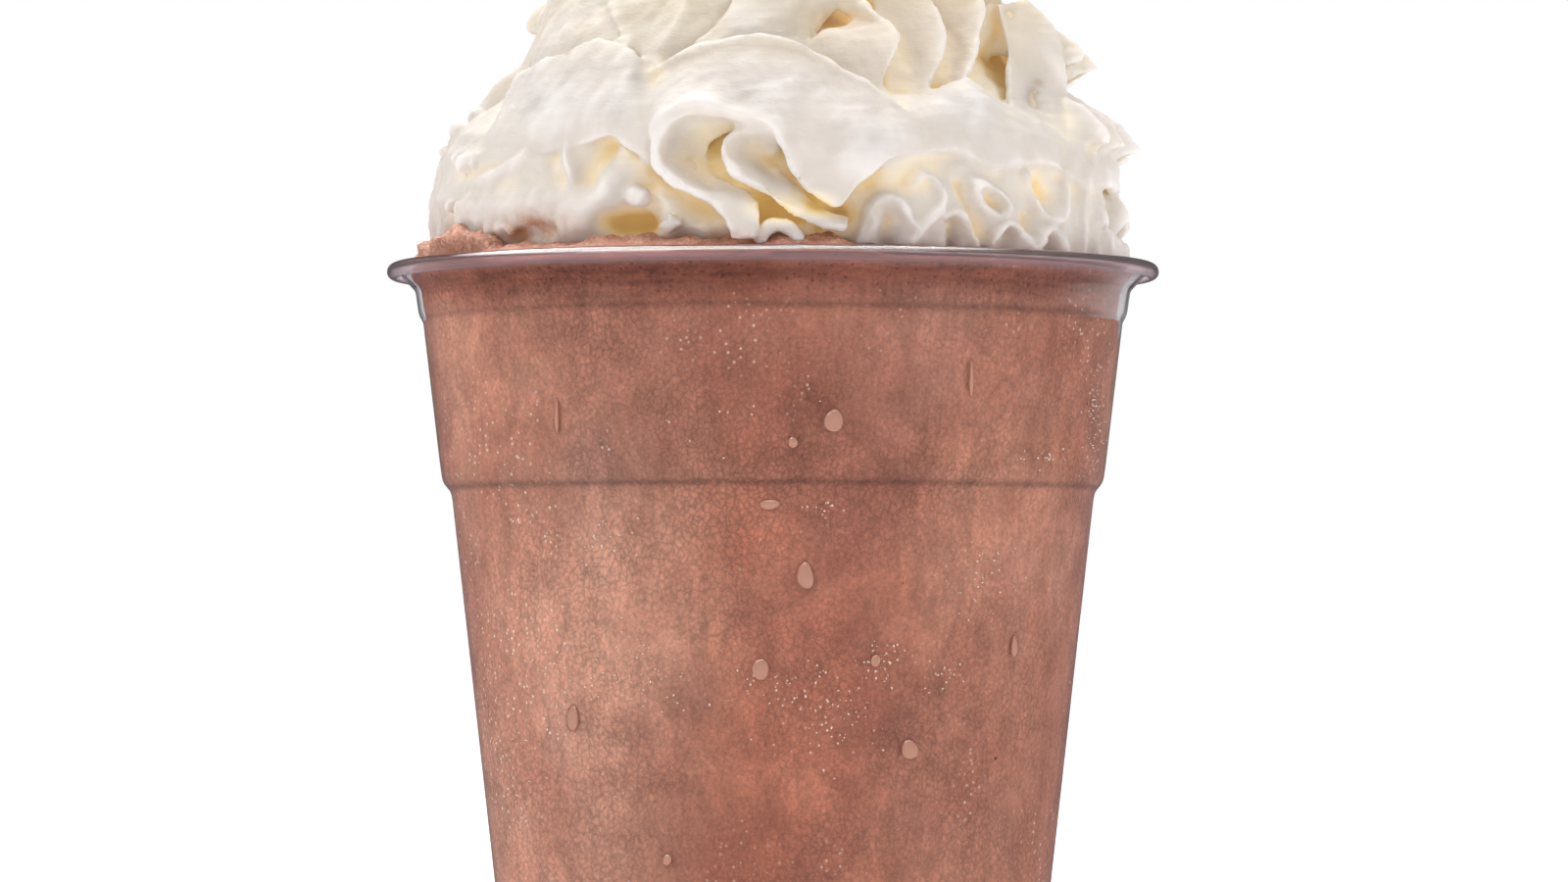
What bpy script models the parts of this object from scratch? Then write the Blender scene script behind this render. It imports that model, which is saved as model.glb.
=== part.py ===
"""Chocolate milkshake in a clear plastic cup, topped with piped whipped cream.

Run with: blender --background --python part.py
Metres, +Z up. The origin is the middle of the foot ring, on the table.
Azimuth is measured round +Z from the front: 0 is the front (-Y), 90 is the right (+X).
"""

import math

import bmesh
import bpy
import numpy as np

MM = 0.001

# The cup: a 98 mm lip on a cup 120 mm tall, with one stacking step and a small bead line under the lip.
CUP_HEIGHT = 120.0 * MM
LIP_RADIUS = 49.0 * MM
WALL = 0.6 * MM
CURL_RADIUS = 1.8 * MM
CURL_END_DEG = -110.0
FOOT_RADIUS = 30.65 * MM
FOOT_INNER = 28.4 * MM
FOOT_OUTER = 29.6 * MM
BASE_RECESS = 3.2 * MM
PANEL_RADIUS = 26.0 * MM
STEP_LOW = (40.5 * MM, 89.8 * MM)
STEP_HIGH = (41.95 * MM, 92.9 * MM)
BAND_TOP = (44.2 * MM, 111.8 * MM)
BEAD_TOP = (44.75 * MM, 112.7 * MM)
NECK = (45.2 * MM, 115.8 * MM)
CUP_SEGMENTS = 40

# The milkshake: it fills the cup and rises as a low bank of foam over the left of the mouth.
CLEARANCE = 0.3 * MM
DRINK_LEVEL = 118.5 * MM
DRINK_SHOULDER = 40.0 * MM
FOAM_MIDDLE_DEG = -72.0
FOAM_HALF_SPAN_DEG = 66.0
FOAM_RADIUS = 42.9 * MM
FOAM_HALF_WIDTH = 1.9 * MM
FOAM_HEIGHT = 3.3 * MM
FOAM_STEPS = 30

# The whipped cream: one long piped frill that winds up from the rim to a peak.
CREAM_FLOOR = DRINK_LEVEL + CLEARANCE + 0.1 * MM
CREAM_FLOOR_RADIUS = 39.6 * MM
CREAM_TOP = 176.5 * MM
FRILL_TURNS = 5.0
FRILL_START_DEG = 180.0
FRILL_THICKNESS = 1.7 * MM
FRILL_SLANT = 3.2 * MM
SAMPLES_PER_TURN = 140


def clear_scene():
    for old in list(bpy.data.objects):
        bpy.data.objects.remove(old, do_unlink=True)


def new_collection(name):
    made = bpy.data.collections.new(name)
    bpy.context.scene.collection.children.link(made)
    return made


def material(name, colour, roughness, transmission=0.0):
    made = bpy.data.materials.new(name)
    made.use_nodes = True
    shader = made.node_tree.nodes["Principled BSDF"]
    shader.inputs["Base Color"].default_value = (*colour, 1.0)
    shader.inputs["Roughness"].default_value = roughness
    shader.inputs["Metallic"].default_value = 0.0
    shader.inputs["Transmission Weight"].default_value = transmission
    return made


def mesh_object(name, points, faces, collection, edges=()):
    mesh = bpy.data.meshes.new(name)
    mesh.from_pydata([tuple(p) for p in points], list(edges), list(faces))
    mesh.update()
    made = bpy.data.objects.new(name, mesh)
    collection.objects.link(made)
    return made


def turned(name, profile, segments, collection):
    """A profile of (radius, height) points, run top to bottom down the outer side, turned about Z."""
    points = [(r, 0.0, z) for r, z in profile]
    edges = [(i, i + 1) for i in range(len(points) - 1)]
    made = mesh_object(name, points, [], collection, edges)
    screw = made.modifiers.new("Turn", "SCREW")
    screw.axis = "Z"
    screw.steps = screw.render_steps = segments
    screw.use_merge_vertices = True
    screw.merge_threshold = 0.02 * MM
    screw.use_smooth_shade = True
    return made


def arc(centre, radius, start_deg, end_deg, count):
    """Points on a circular arc in the profile plane."""
    angles = np.radians(np.linspace(start_deg, end_deg, count))
    return [(centre[0] + radius * math.cos(t), centre[1] + radius * math.sin(t)) for t in angles]


def blended(start, end, count):
    """Points between two profile points whose slope eases in and out, for the cup's step and bead."""
    made = []
    for t in np.linspace(0.0, 1.0, count):
        ease = t * t * (3.0 - 2.0 * t)
        made.append((start[0] + (end[0] - start[0]) * ease, start[1] + (end[1] - start[1]) * t))
    return made


def wall_profile():
    """The cup's outer wall from the neck down to the foot."""
    return [
        NECK,
        BEAD_TOP,
        BAND_TOP,
        *blended(STEP_HIGH, STEP_LOW, 4),
        (FOOT_RADIUS, 1.5 * MM),
    ]


def build_cup(collection):
    """A thin shell: the curled lip, the wall, the foot ring and the base panel above the table."""
    inner_curl = CURL_RADIUS - WALL
    centre = (LIP_RADIUS - CURL_RADIUS, CUP_HEIGHT - CURL_RADIUS)
    corner = (FOOT_RADIUS - 0.35 * MM, 0.45 * MM)
    foot = [corner, (FOOT_OUTER, 0.0), (FOOT_INNER, 0.0), (PANEL_RADIUS, BASE_RECESS), (0.0, BASE_RECESS)]
    profile = arc(centre, inner_curl, CURL_END_DEG, 180.0, 7) + wall_profile() + foot
    cup = turned("cup", profile, CUP_SEGMENTS, collection)
    shell = cup.modifiers.new("Wall", "SOLIDIFY")
    shell.thickness = WALL
    shell.offset = -1.0
    shell.use_even_offset = True
    cup.data.materials.append(material("clear_plastic", (0.93, 0.95, 0.96), 0.05, 0.95))
    return cup


def section_loft(name, sections, collection):
    """A solid lofted through loops of points, an array of (steps, loop, 3), with both ends capped."""
    steps, loop, _ = sections.shape
    faces = []
    for i in range(steps - 1):
        for j in range(loop):
            beside = (j + 1) % loop
            faces.append((i * loop + j, i * loop + beside, (i + 1) * loop + beside, (i + 1) * loop + j))
    faces.append(tuple(reversed(range(loop))))
    faces.append(tuple((steps - 1) * loop + j for j in range(loop)))
    made = mesh_object(name, sections.reshape(-1, 3), faces, collection)
    shape = bmesh.new()
    shape.from_mesh(made.data)
    bmesh.ops.recalc_face_normals(shape, faces=shape.faces)
    bmesh.ops.triangulate(shape, faces=[f for f in shape.faces if len(f.verts) > 4])
    shape.to_mesh(made.data)
    shape.free()
    return made


def polar(azimuth, radius, height):
    """World points from azimuths in radians, radii and heights."""
    azimuth, radius, height = np.broadcast_arrays(azimuth, radius, height)
    return np.stack([radius * np.sin(azimuth), -radius * np.cos(azimuth), height], axis=-1)


def union(target, parts):
    """Joins the parts into the target with one Boolean, applies it and removes the parts."""
    joined = bpy.data.collections.new(target.name + "_parts")
    bpy.context.scene.collection.children.link(joined)
    for part in parts:
        joined.objects.link(part)
    cut = target.modifiers.new("Join", "BOOLEAN")
    cut.operation = "UNION"
    cut.operand_type = "COLLECTION"
    cut.collection = joined
    cut.solver = "MANIFOLD"
    bpy.context.view_layer.update()
    graph = bpy.context.evaluated_depsgraph_get()
    mesh = bpy.data.meshes.new_from_object(target.evaluated_get(graph))
    target.modifiers.clear()
    target.data = mesh
    for part in parts:
        bpy.data.objects.remove(part, do_unlink=True)
    bpy.data.collections.remove(joined)
    keep_outer_skin(target.data)
    return target


def keep_outer_skin(mesh):
    """Drops every closed skin but the largest: sealed hollows are filled and loose scraps go."""
    shape = bmesh.new()
    shape.from_mesh(mesh)
    unseen = set(shape.verts)
    skins = []
    while unseen:
        skin = set()
        edge_of_search = [unseen.pop()]
        while edge_of_search:
            vert = edge_of_search.pop()
            skin.add(vert)
            for edge in vert.link_edges:
                other = edge.other_vert(vert)
                if other in unseen:
                    unseen.remove(other)
                    edge_of_search.append(other)
        skins.append(skin)
    largest = max(skins, key=len)
    bmesh.ops.delete(shape, geom=[v for v in shape.verts if v not in largest], context="VERTS")
    shape.to_mesh(mesh)
    shape.free()


def drink_profile():
    """The milkshake's own outline, clear of the cup's inside all the way down."""
    inset = WALL + CLEARANCE + 0.05 * MM
    wall = [(r - inset, z) for r, z in (NECK, BAND_TOP, STEP_HIGH, STEP_LOW)]
    low = [(FOOT_RADIUS - inset - 0.15 * MM, 2.4 * MM), (28.9 * MM, 1.6 * MM), (28.1 * MM, 1.8 * MM)]
    floor = BASE_RECESS + inset
    panel = [(PANEL_RADIUS + 0.6 * MM, floor), (0.0, floor)]
    top = [(0.0, DRINK_LEVEL), (DRINK_SHOULDER, DRINK_LEVEL), (44.2 * MM, DRINK_LEVEL - 0.4 * MM)]
    neck = [(44.75 * MM, DRINK_LEVEL - 0.9 * MM), (44.5 * MM, DRINK_LEVEL - 1.8 * MM)]
    return top + neck + wall + low + panel


def foam_bank(collection):
    """The bank of foam on the milkshake, pinched out at both ends."""
    share = np.linspace(-1.0, 1.0, FOAM_STEPS)
    azimuth = np.radians(FOAM_MIDDLE_DEG + FOAM_HALF_SPAN_DEG * share)
    swell = np.sqrt(np.clip(1.0 - share**2, 0.0, 1.0)) * 0.93 + 0.07
    lumps = 1.0 + 0.10 * np.sin(azimuth * 9.0) + 0.08 * np.sin(azimuth * 17.0 + 1.0)
    loop = np.radians(np.arange(0.0, 360.0, 45.0))
    height = FOAM_HEIGHT * swell * lumps
    radius = FOAM_RADIUS + FOAM_HALF_WIDTH * np.cos(loop)[None, :] * (0.5 + 0.5 * swell[:, None])
    level = DRINK_LEVEL - 0.6 * MM
    rise = level + 0.5 * (height[:, None] + 1.2 * MM) * (1.0 + np.sin(loop)[None, :]) - 0.6 * MM
    return section_loft("foam", polar(azimuth[:, None], radius, rise), collection)


def build_milkshake(collection):
    drink = turned("milkshake", drink_profile(), CUP_SEGMENTS, collection)
    union(drink, [foam_bank(collection)])
    drink.data.materials.clear()
    drink.data.materials.append(material("chocolate_shake", (0.42, 0.19, 0.13), 0.45))
    return drink


# The frill's free edge by turn: (turn, radius, height) in mm.
EDGE_PATH = (
    (0.0, 43.3, 122.0),
    (0.42, 43.4, 122.0),
    (0.5, 43.2, 123.4),
    (0.75, 43.2, 125.9),
    (1.0, 44.0, 129.0),
    (1.25, 43.8, 132.0),
    (1.5, 43.0, 134.5),
    (1.75, 40.2, 137.4),
    (2.25, 38.0, 142.6),
    (2.75, 32.0, 148.4),
    (3.5, 24.5, 157.0),
    (4.0, 18.5, 162.2),
    (4.5, 12.0, 167.0),
    (5.0, 5.6, 171.0),
)

# How far the groove above the frill lies behind the next turn's edge: (turn, depth) in mm.
GROOVES = (
    (0.0, 4.6),
    (0.5, 5.2),
    (1.0, 6.6),
    (2.0, 8.0),
    (3.0, 8.0),
    (4.0, 6.0),
    (5.0, 2.6),
)

# The frill's waves by turn: (turn, wavelength, depth, lift of the crests) in mm.
WAVES = (
    (0.0, 8.8, 1.5, 1.6),
    (0.42, 8.6, 1.5, 1.6),
    (0.55, 15.0, 0.9, 0.6),
    (0.85, 13.0, 1.2, 0.6),
    (1.1, 10.0, 2.0, 0.6),
    (1.4, 11.0, 2.0, 0.8),
    (1.47, 20.0, 0.5, 0.2),
    (1.62, 20.0, 0.6, 0.2),
    (1.75, 12.0, 1.6, 0.8),
    (2.2, 10.0, 2.4, 1.0),
    (3.2, 9.2, 2.5, 1.0),
    (4.2, 8.0, 1.8, 0.6),
    (5.0, 6.0, 0.8, 0.2),
)


def looked_up(keys, table, column):
    """One column of a table, read at the given keys of its first column."""
    columns = list(zip(*table))
    return np.interp(keys, columns[0], columns[column])


def open_sheet(name, grid, thickness, collection):
    """A sheet through a grid of points, thickened evenly to both sides."""
    steps, rows, _ = grid.shape
    faces = []
    for i in range(steps - 1):
        for j in range(rows - 1):
            faces.append((i * rows + j, i * rows + j + 1, (i + 1) * rows + j + 1, (i + 1) * rows + j))
    made = mesh_object(name, grid.reshape(-1, 3), faces, collection)
    shell = made.modifiers.new("Thickness", "SOLIDIFY")
    shell.thickness = thickness
    shell.offset = 0.0
    return made


def wave_phase(turn):
    """The phase of the frill's waves along the turns, each wave a little longer or shorter."""
    step = 2.0 * math.pi * looked_up(turn, EDGE_PATH, 1) * np.gradient(turn)
    uneven = 1.0 + 0.22 * np.sin(turn * 23.0) + 0.12 * np.sin(turn * 51.0 + 1.0)
    return 2.0 * math.pi * np.cumsum(step / (looked_up(turn, WAVES, 1) * uneven))


def frill_rows():
    """Rows of points along the frill: the groove above it, its face, and its edge's two corners."""
    turn = np.arange(int(FRILL_TURNS * SAMPLES_PER_TURN) + 1) / SAMPLES_PER_TURN
    phase = wave_phase(turn)
    edge_radius = looked_up(turn, EDGE_PATH, 1) * MM
    edge_height = looked_up(turn, EDGE_PATH, 2) * MM
    pitch = looked_up(turn + 1.0, EDGE_PATH, 2) * MM - edge_height
    groove_radius = np.maximum(looked_up(turn + 1.0, EDGE_PATH, 1) - looked_up(turn, GROOVES, 1), 0.9) * MM
    groove_height = edge_height + np.maximum(pitch, 1.2 * MM) + 1.2 * MM
    swell = 1.0 + 0.22 * np.sin(phase * 0.37) + 0.15 * np.sin(phase * 0.83 + 2.0)
    depth = looked_up(turn, WAVES, 2) * MM * swell
    lift = looked_up(turn, WAVES, 3) * MM * swell
    azimuth = math.radians(FRILL_START_DEG) - 2.0 * math.pi * turn
    slant = FRILL_SLANT / np.maximum(edge_radius, 6.0 * MM)
    slip = 0.16 * depth * np.sin(2.0 * phase) / np.maximum(edge_radius, 4.0 * MM)
    wave = np.cos(phase)
    face_radius = edge_radius * 0.66 + groove_radius * 0.34 + 1.2 * MM
    face_height = edge_height * 0.42 + groove_height * 0.58
    lower_radius = edge_radius + depth * wave - 0.7 * MM
    lower_height = edge_height + lift * wave
    face_azimuth = azimuth + 0.4 * slant + 0.5 * slip
    return [
        polar(azimuth + slant, groove_radius + 0.15 * depth * wave, groove_height),
        polar(face_azimuth, face_radius + 0.8 * depth * wave, face_height + 0.3 * lift * wave),
        polar(azimuth + slip, edge_radius + depth * wave, lower_height + FRILL_THICKNESS),
        polar(azimuth + slip, lower_radius, lower_height),
    ]


def build_frill(collection):
    """The frill as one closed skin: each turn's lower corner runs on into the groove of the turn below."""
    rows = frill_rows()
    count = len(rows[0])
    around = SAMPLES_PER_TURN
    azimuth = math.radians(FRILL_START_DEG) - 2.0 * math.pi * np.arange(around) / around
    floor = polar(azimuth, CREAM_FLOOR_RADIUS, CREAM_FLOOR)
    peak = np.array([[1.2 * MM, -0.6 * MM, CREAM_TOP], [0.0, 0.0, CREAM_FLOOR]])
    points = np.concatenate([*rows, floor, peak])
    groove, face, upper, lower, base = (np.arange(count) + count * k for k in range(5))
    tip, middle = len(points) - 2, len(points) - 1
    faces = []
    for k in range(count - 1):
        for high, low in ((groove, face), (face, upper), (upper, lower)):
            faces.append((high[k], high[k + 1], low[k + 1], low[k]))
    for k in range(around, count - 1):
        faces.append((lower[k], lower[k + 1], groove[k + 1 - around], groove[k - around]))
    for k in range(around):
        ahead = base[(k + 1) % around]
        faces.append((lower[k], lower[k + 1], ahead, base[k]))
        faces.append((base[k], ahead, middle))
    faces.append((base[0], lower[0], upper[0], face[0], groove[0], lower[around]))
    top = list(groove[count - 1 - around :]) + [face[-1], upper[-1], lower[-1]]
    for low, ahead in zip(top, top[1:] + top[:1]):
        faces.append((low, ahead, tip))
    made = mesh_object("whipped_cream", points, faces, collection)
    shape = bmesh.new()
    shape.from_mesh(made.data)
    bmesh.ops.triangulate(shape, faces=shape.faces)
    bmesh.ops.recalc_face_normals(shape, faces=shape.faces)
    if shape.calc_volume(signed=True) < 0.0:
        bmesh.ops.reverse_faces(shape, faces=shape.faces)
    shape.to_mesh(made.data)
    shape.free()
    return made


# The drape over the front: (azimuth, height of its crown, height of its hem) in degrees and mm.
DRAPE = (
    (-24.0, 138.0, 131.0),
    (-17.0, 142.0, 134.8),
    (-9.0, 144.6, 135.4),
    (0.0, 145.2, 133.0),
    (4.0, 144.6, 127.6),
    (8.0, 143.2, 125.4),
    (14.0, 140.6, 127.6),
    (22.0, 138.8, 130.8),
    (34.0, 138.2, 130.6),
    (48.0, 137.4, 129.0),
    (62.0, 136.6, 128.0),
)
DRAPE_CROWN_RADIUS = 33.5 * MM
DRAPE_HEM_RADIUS = 45.2 * MM
DRAPE_THICKNESS = 1.9 * MM
DRAPE_STEPS = 30
DRAPE_ROWS = 5


def build_drape(collection):
    """The large smooth fold that hangs from the second tier over the front."""
    azimuth = np.linspace(DRAPE[0][0], DRAPE[-1][0], DRAPE_STEPS)
    crown = looked_up(azimuth, DRAPE, 1) * MM
    hem = looked_up(azimuth, DRAPE, 2) * MM
    ends = np.clip(np.minimum(azimuth - azimuth[0], azimuth[-1] - azimuth) / 9.0, 0.0, 1.0)
    rows = []
    for share in np.linspace(0.0, 1.0, DRAPE_ROWS):
        round_over = math.sin(share * math.pi / 2.0)
        hem_radius = DRAPE_HEM_RADIUS - 4.0 * MM * (1.0 - ends)
        radius = DRAPE_CROWN_RADIUS + (hem_radius - DRAPE_CROWN_RADIUS) * round_over
        rows.append(polar(np.radians(azimuth), radius, crown + (hem - crown) * share**1.3))
    return open_sheet("drape", np.stack(rows, axis=1), DRAPE_THICKNESS, collection)


# Two folds at the front, seen end on: (across, height) in mm, run from the rim up, over and down again.
OUTER_FOLD = (
    (-2.2, 121.6),
    (-7.0, 124.0),
    (-12.6, 127.4),
    (-14.2, 131.4),
    (-12.4, 134.8),
    (-7.6, 135.4),
    (-1.2, 133.6),
    (1.2, 130.0),
    (3.0, 126.4),
)
INNER_FOLD = (
    (4.7, 121.8),
    (2.5, 123.9),
    (-2.0, 126.2),
    (-5.4, 128.9),
    (-6.0, 131.5),
    (-3.8, 133.0),
    (-1.6, 131.0),
    (0.4, 127.8),
)
FOLD_THICKNESS = 1.5 * MM
FOLD_ROOT = 36.0 * MM
FOLD_EDGE = 45.4 * MM


def smooth_run(points, count):
    """Evenly spaced points on a smooth curve through the given ones."""
    knots = np.array(points, float)
    padded = np.vstack([2 * knots[0] - knots[1], knots, 2 * knots[-1] - knots[-2]])
    fine = []
    for i in range(1, len(padded) - 2):
        a, b, c, d = padded[i - 1 : i + 3]
        for t in np.linspace(0.0, 1.0, 20, endpoint=False):
            bend = (2 * a - 5 * b + 4 * c - d) * t**2 + (3 * b - a - 3 * c + d) * t**3
            fine.append(0.5 * (2 * b + (c - a) * t + bend))
    fine = np.array(fine + [knots[-1]])
    run = np.concatenate([[0.0], np.cumsum(np.linalg.norm(np.diff(fine, axis=0), axis=1))])
    places = np.linspace(0.0, run[-1], count)
    return np.stack([np.interp(places, run, fine[:, k]) for k in range(2)], axis=1)


def build_fold(name, points, collection, count=16):
    """A fold of cream from its root in the body out to the edge that faces the front."""
    line = smooth_run(points, count) * MM
    azimuth = line[:, 0] / FOLD_EDGE
    rows = [polar(azimuth, radius, line[:, 1]) for radius in np.linspace(FOLD_ROOT, FOLD_EDGE, 3)]
    return open_sheet(name, np.stack(rows, axis=1), FOLD_THICKNESS, collection)


def build_cream(collection):
    cream = build_frill(collection)
    parts = [
        build_drape(collection),
        build_fold("outer_fold", OUTER_FOLD, collection),
        build_fold("inner_fold", INNER_FOLD, collection),
    ]
    union(cream, parts)
    cream.data.materials.clear()
    cream.data.materials.append(material("whipped_cream", (0.93, 0.89, 0.82), 0.5))
    return cream


def main():
    clear_scene()
    collection = new_collection("chocolate_milkshake")
    build_cup(collection)
    build_milkshake(collection)
    build_cream(collection)


main()
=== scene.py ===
"""The looks of a chocolate milkshake in a clear plastic cup, topped with ruffled whipped cream.

Lengths in the tables are millimetres unless a name says otherwise; the meshes are in metres.
Azimuth runs round +Z from the front: 0 is the front (-Y) and 90 is the right (+X).
"""

import math

import bmesh
import bpy
import numpy as np
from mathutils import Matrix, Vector


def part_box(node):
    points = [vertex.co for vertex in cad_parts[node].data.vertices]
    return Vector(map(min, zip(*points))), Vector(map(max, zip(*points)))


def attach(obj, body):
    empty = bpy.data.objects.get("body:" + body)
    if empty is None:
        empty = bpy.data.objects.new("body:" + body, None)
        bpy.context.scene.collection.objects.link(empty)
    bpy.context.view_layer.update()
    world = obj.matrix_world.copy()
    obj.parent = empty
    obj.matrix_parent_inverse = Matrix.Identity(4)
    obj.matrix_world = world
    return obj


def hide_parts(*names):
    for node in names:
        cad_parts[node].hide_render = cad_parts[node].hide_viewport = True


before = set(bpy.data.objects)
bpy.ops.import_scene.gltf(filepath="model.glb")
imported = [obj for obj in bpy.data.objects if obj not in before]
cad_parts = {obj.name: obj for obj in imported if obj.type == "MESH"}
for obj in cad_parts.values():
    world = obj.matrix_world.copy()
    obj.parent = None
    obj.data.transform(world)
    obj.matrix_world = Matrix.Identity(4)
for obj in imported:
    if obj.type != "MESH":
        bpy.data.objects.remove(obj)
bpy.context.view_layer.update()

MM = 0.001

# The cup, from its lip at the top down to the foot ring.
CUP_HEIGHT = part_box("cup")[1].z / MM
LIP_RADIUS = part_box("cup")[1].x / MM
WALL = 0.6
CURL_RADIUS = 1.15
# The photo shows the lip this much lower than the wall line leads to.
LIP_DROP = 0.9
CURL_END_DEG = -110.0
# The curl is thin at its free edge and has the wall's full thickness from the last of these runs on.
CURL_EDGE_WALL = 0.12
CURL_THIN_RUNS = (0.0, 1.8, 2.8)
# The wall's outside, then the middle of the foot ring and base panel: (radius, height).
WALL_LINE = (
    (45.2, 115.8),
    (44.75, 112.7),
    (44.2, 111.8),
    (41.95, 92.9),
    (41.7, 91.6),
    (40.75, 90.5),
    (40.5, 89.5),
    (30.65, 1.5),
)
FOOT_MIDDLE = [(29.85, 0.65), (29.2, 0.3), (28.6, 0.3), (26.2, 3.5), (0.0, 3.5)]
CUP_SEGMENTS = 224

# The milkshake reaches into the wall, so that no air shows between them.
BITE = 0.28
DRINK_LEVEL = 118.5
DRINK_SEGMENTS = 360
# The drink's flat top, its shoulder as (radius, depth under its level) and its foot as (radius, height).
DRINK_TOP = np.linspace(6.0, 44.6, 26)
DRINK_SHOULDER = ((46.2, 0.4), (46.4, 1.0), (46.2, 1.4), (45.6, 2.0))
DRINK_FOOT = [(30.75 - BITE, 2.6), (29.4, 1.5), (28.0, 1.7), (26.5, 3.55), (0.0, 3.75)]
FOAM_HEIGHT = 3.5
FOAM_SPREAD = 1.2
# The foam's ripples: (waves round the mouth, height, slant).
FOAM_RIPPLES = ((11, 0.16, 0.0), (23, 0.12, 1.0), (47, 0.10, 0.0), (71, 0.12, 2.3), (37, 0.08, -3.1))
# Where a form begins and ends: (from, easing in over, to, easing out over), in degrees or mm of height.
FOAM_LEFT = (-150.0, 30.0, -44.0, 9.0)
FOAM_FRONT = (-70.0, 15.0, 20.0, 12.0)
GAP_SIDE = (76.5, 9.0, 118.0, 20.0)
GAP_HEIGHTS = (108.5, 3.0, 119.0, 1.0)
SHALLOW_HEIGHTS = (111.0, 2.0, 119.0, 1.0)
SHALLOW_SHARE = 0.8
AIR_GAP = 1.25

# The cream.
CREAM_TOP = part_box("whipped_cream")[1].z / MM
CREAM_BASE = 118.0
VOXEL = 0.38


def polar(azimuth, radius, height):
    """World points in mm from azimuths in radians, radii and heights."""
    azimuth, radius, height = np.broadcast_arrays(azimuth, radius, height)
    return np.stack([radius * np.sin(azimuth), -radius * np.cos(azimuth), height], axis=-1)


def in_degrees(azimuth):
    """Azimuths in degrees from -180 to 180."""
    return (np.degrees(azimuth) + 180.0) % 360.0 - 180.0


def spline(a, b, c, d, t):
    """A smooth curve from b to c, bent by its neighbours a and d."""
    bend = (2 * a - 5 * b + 4 * c - d) * t**2 + (3 * b - a - 3 * c + d) * t**3
    return 0.5 * (2 * b + (c - a) * t + bend)


def run_along(line):
    """How far along a line each of its points is."""
    return np.concatenate([[0.0], np.cumsum(np.linalg.norm(np.diff(line, axis=0), axis=1))])


def evened(line, count):
    """The line as so many evenly spaced points."""
    run = run_along(line)
    places = np.linspace(0.0, run[-1], count)
    return np.stack([np.interp(places, run, column) for column in line.T], axis=1)


def smooth_run(points, count):
    """Evenly spaced points on a smooth curve through the given ones, in any number of dimensions."""
    knots = np.array(points, float)
    padded = np.vstack([2 * knots[0] - knots[1], knots, 2 * knots[-1] - knots[-2]])
    t = np.linspace(0.0, 1.0, 24, endpoint=False)[:, None]
    fine = [spline(*four, t) for four in zip(padded, padded[1:], padded[2:], padded[3:])]
    return evened(np.vstack([*fine, knots[-1:]]), count)


def looked_up(keys, table, column):
    """One column of a table, read at the given keys of its first column."""
    columns = list(zip(*table))
    return np.interp(keys, columns[0], columns[column])


def ease(x):
    x = np.clip(x, 0.0, 1.0)
    return x * x * (3.0 - 2.0 * x)


def between(value, low, rise, high, fall):
    """One between two bounds, easing in over a rise and out over a fall."""
    return ease((value - low) / rise) * ease((high - value) / fall)


def mesh_piece(name, points, faces):
    """A smooth mesh object from points in mm; a point that a face repeats counts once."""
    mesh = bpy.data.meshes.new(name)
    faces = [tuple(dict.fromkeys(map(int, face))) for face in faces]
    mesh.from_pydata((np.asarray(points) * MM).tolist(), [], faces)
    mesh.update()
    mesh.shade_smooth()
    made = bpy.data.objects.new(name, mesh)
    bpy.context.scene.collection.objects.link(made)
    return made


def grid_faces(steps, rows, closed_steps=False, closed_rows=False, start=0):
    """Quads over a grid of steps by rows whose points run row by row."""
    i = np.arange(steps if closed_steps else steps - 1)
    j = np.arange(rows if closed_rows else rows - 1)
    i, j = np.meshgrid(i, j, indexing="ij")
    ahead, beside = (i + 1) % steps, (j + 1) % rows
    quads = np.stack([i * rows + j, i * rows + beside, ahead * rows + beside, ahead * rows + j], axis=-1)
    return quads.reshape(-1, 4) + start


def outward(made):
    """Turns the faces of a closed mesh outward."""
    shape = bmesh.new()
    shape.from_mesh(made.data)
    bmesh.ops.recalc_face_normals(shape, faces=shape.faces)
    if shape.calc_volume(signed=True) < 0.0:
        bmesh.ops.reverse_faces(shape, faces=shape.faces)
    shape.to_mesh(made.data)
    shape.free()
    return made


def turned(name, loop, segments, moved=None):
    """A solid turned about Z from a (radius, height) line that starts and ends on the axis."""
    loop = np.array(loop, float)
    azimuth = np.linspace(0.0, 2.0 * math.pi, segments, endpoint=False)
    ring = loop[1:-1]
    radius = np.broadcast_to(ring[None, :, 0], (segments, len(ring))).copy()
    height = np.broadcast_to(ring[None, :, 1], (segments, len(ring))).copy()
    if moved:
        radius, height = moved(azimuth[:, None], radius, height)
    points = polar(azimuth[:, None], radius, height).reshape(-1, 3)
    rows = len(ring)
    faces = [tuple(f) for f in grid_faces(segments, rows, closed_steps=True)]
    first, last = len(points), len(points) + 1
    points = np.vstack([points, [0.0, 0.0, loop[0, 1]], [0.0, 0.0, loop[-1, 1]]])
    for k in range(segments):
        ahead = (k + 1) % segments
        faces.append((first, k * rows, ahead * rows))
        faces.append((last, ahead * rows + rows - 1, k * rows + rows - 1))
    return outward(mesh_piece(name, points, faces))


def softened(line, step, window):
    """The line in even steps with its corners rounded by a moving mean; its ends stay."""
    line = np.array(line, float)
    even = evened(line, max(8, int(run_along(line)[-1] / step)))
    reach = max(1, int(window / step / 2))
    padded = np.vstack([2 * even[0] - even[reach:0:-1], even, 2 * even[-1] - even[-2 : -reach - 2 : -1]])
    kernel = np.ones(2 * reach + 1) / (2 * reach + 1)
    return np.stack([np.convolve(column, kernel, mode="valid") for column in padded.T], axis=1)


def thinned(line, turn, reach):
    """The line with points only where it has turned by so many degrees or run on for a reach."""
    kept = [0]
    way = np.diff(line, axis=0)
    heading = np.unwrap(np.arctan2(way[:, 1], way[:, 0]))
    for k in range(1, len(line) - 1):
        far = np.linalg.norm(line[k + 1] - line[kept[-1]]) > reach
        if far or abs(heading[k] - heading[kept[-1]]) > math.radians(turn):
            kept.append(k)
    return line[kept + [len(line) - 1]]


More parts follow.
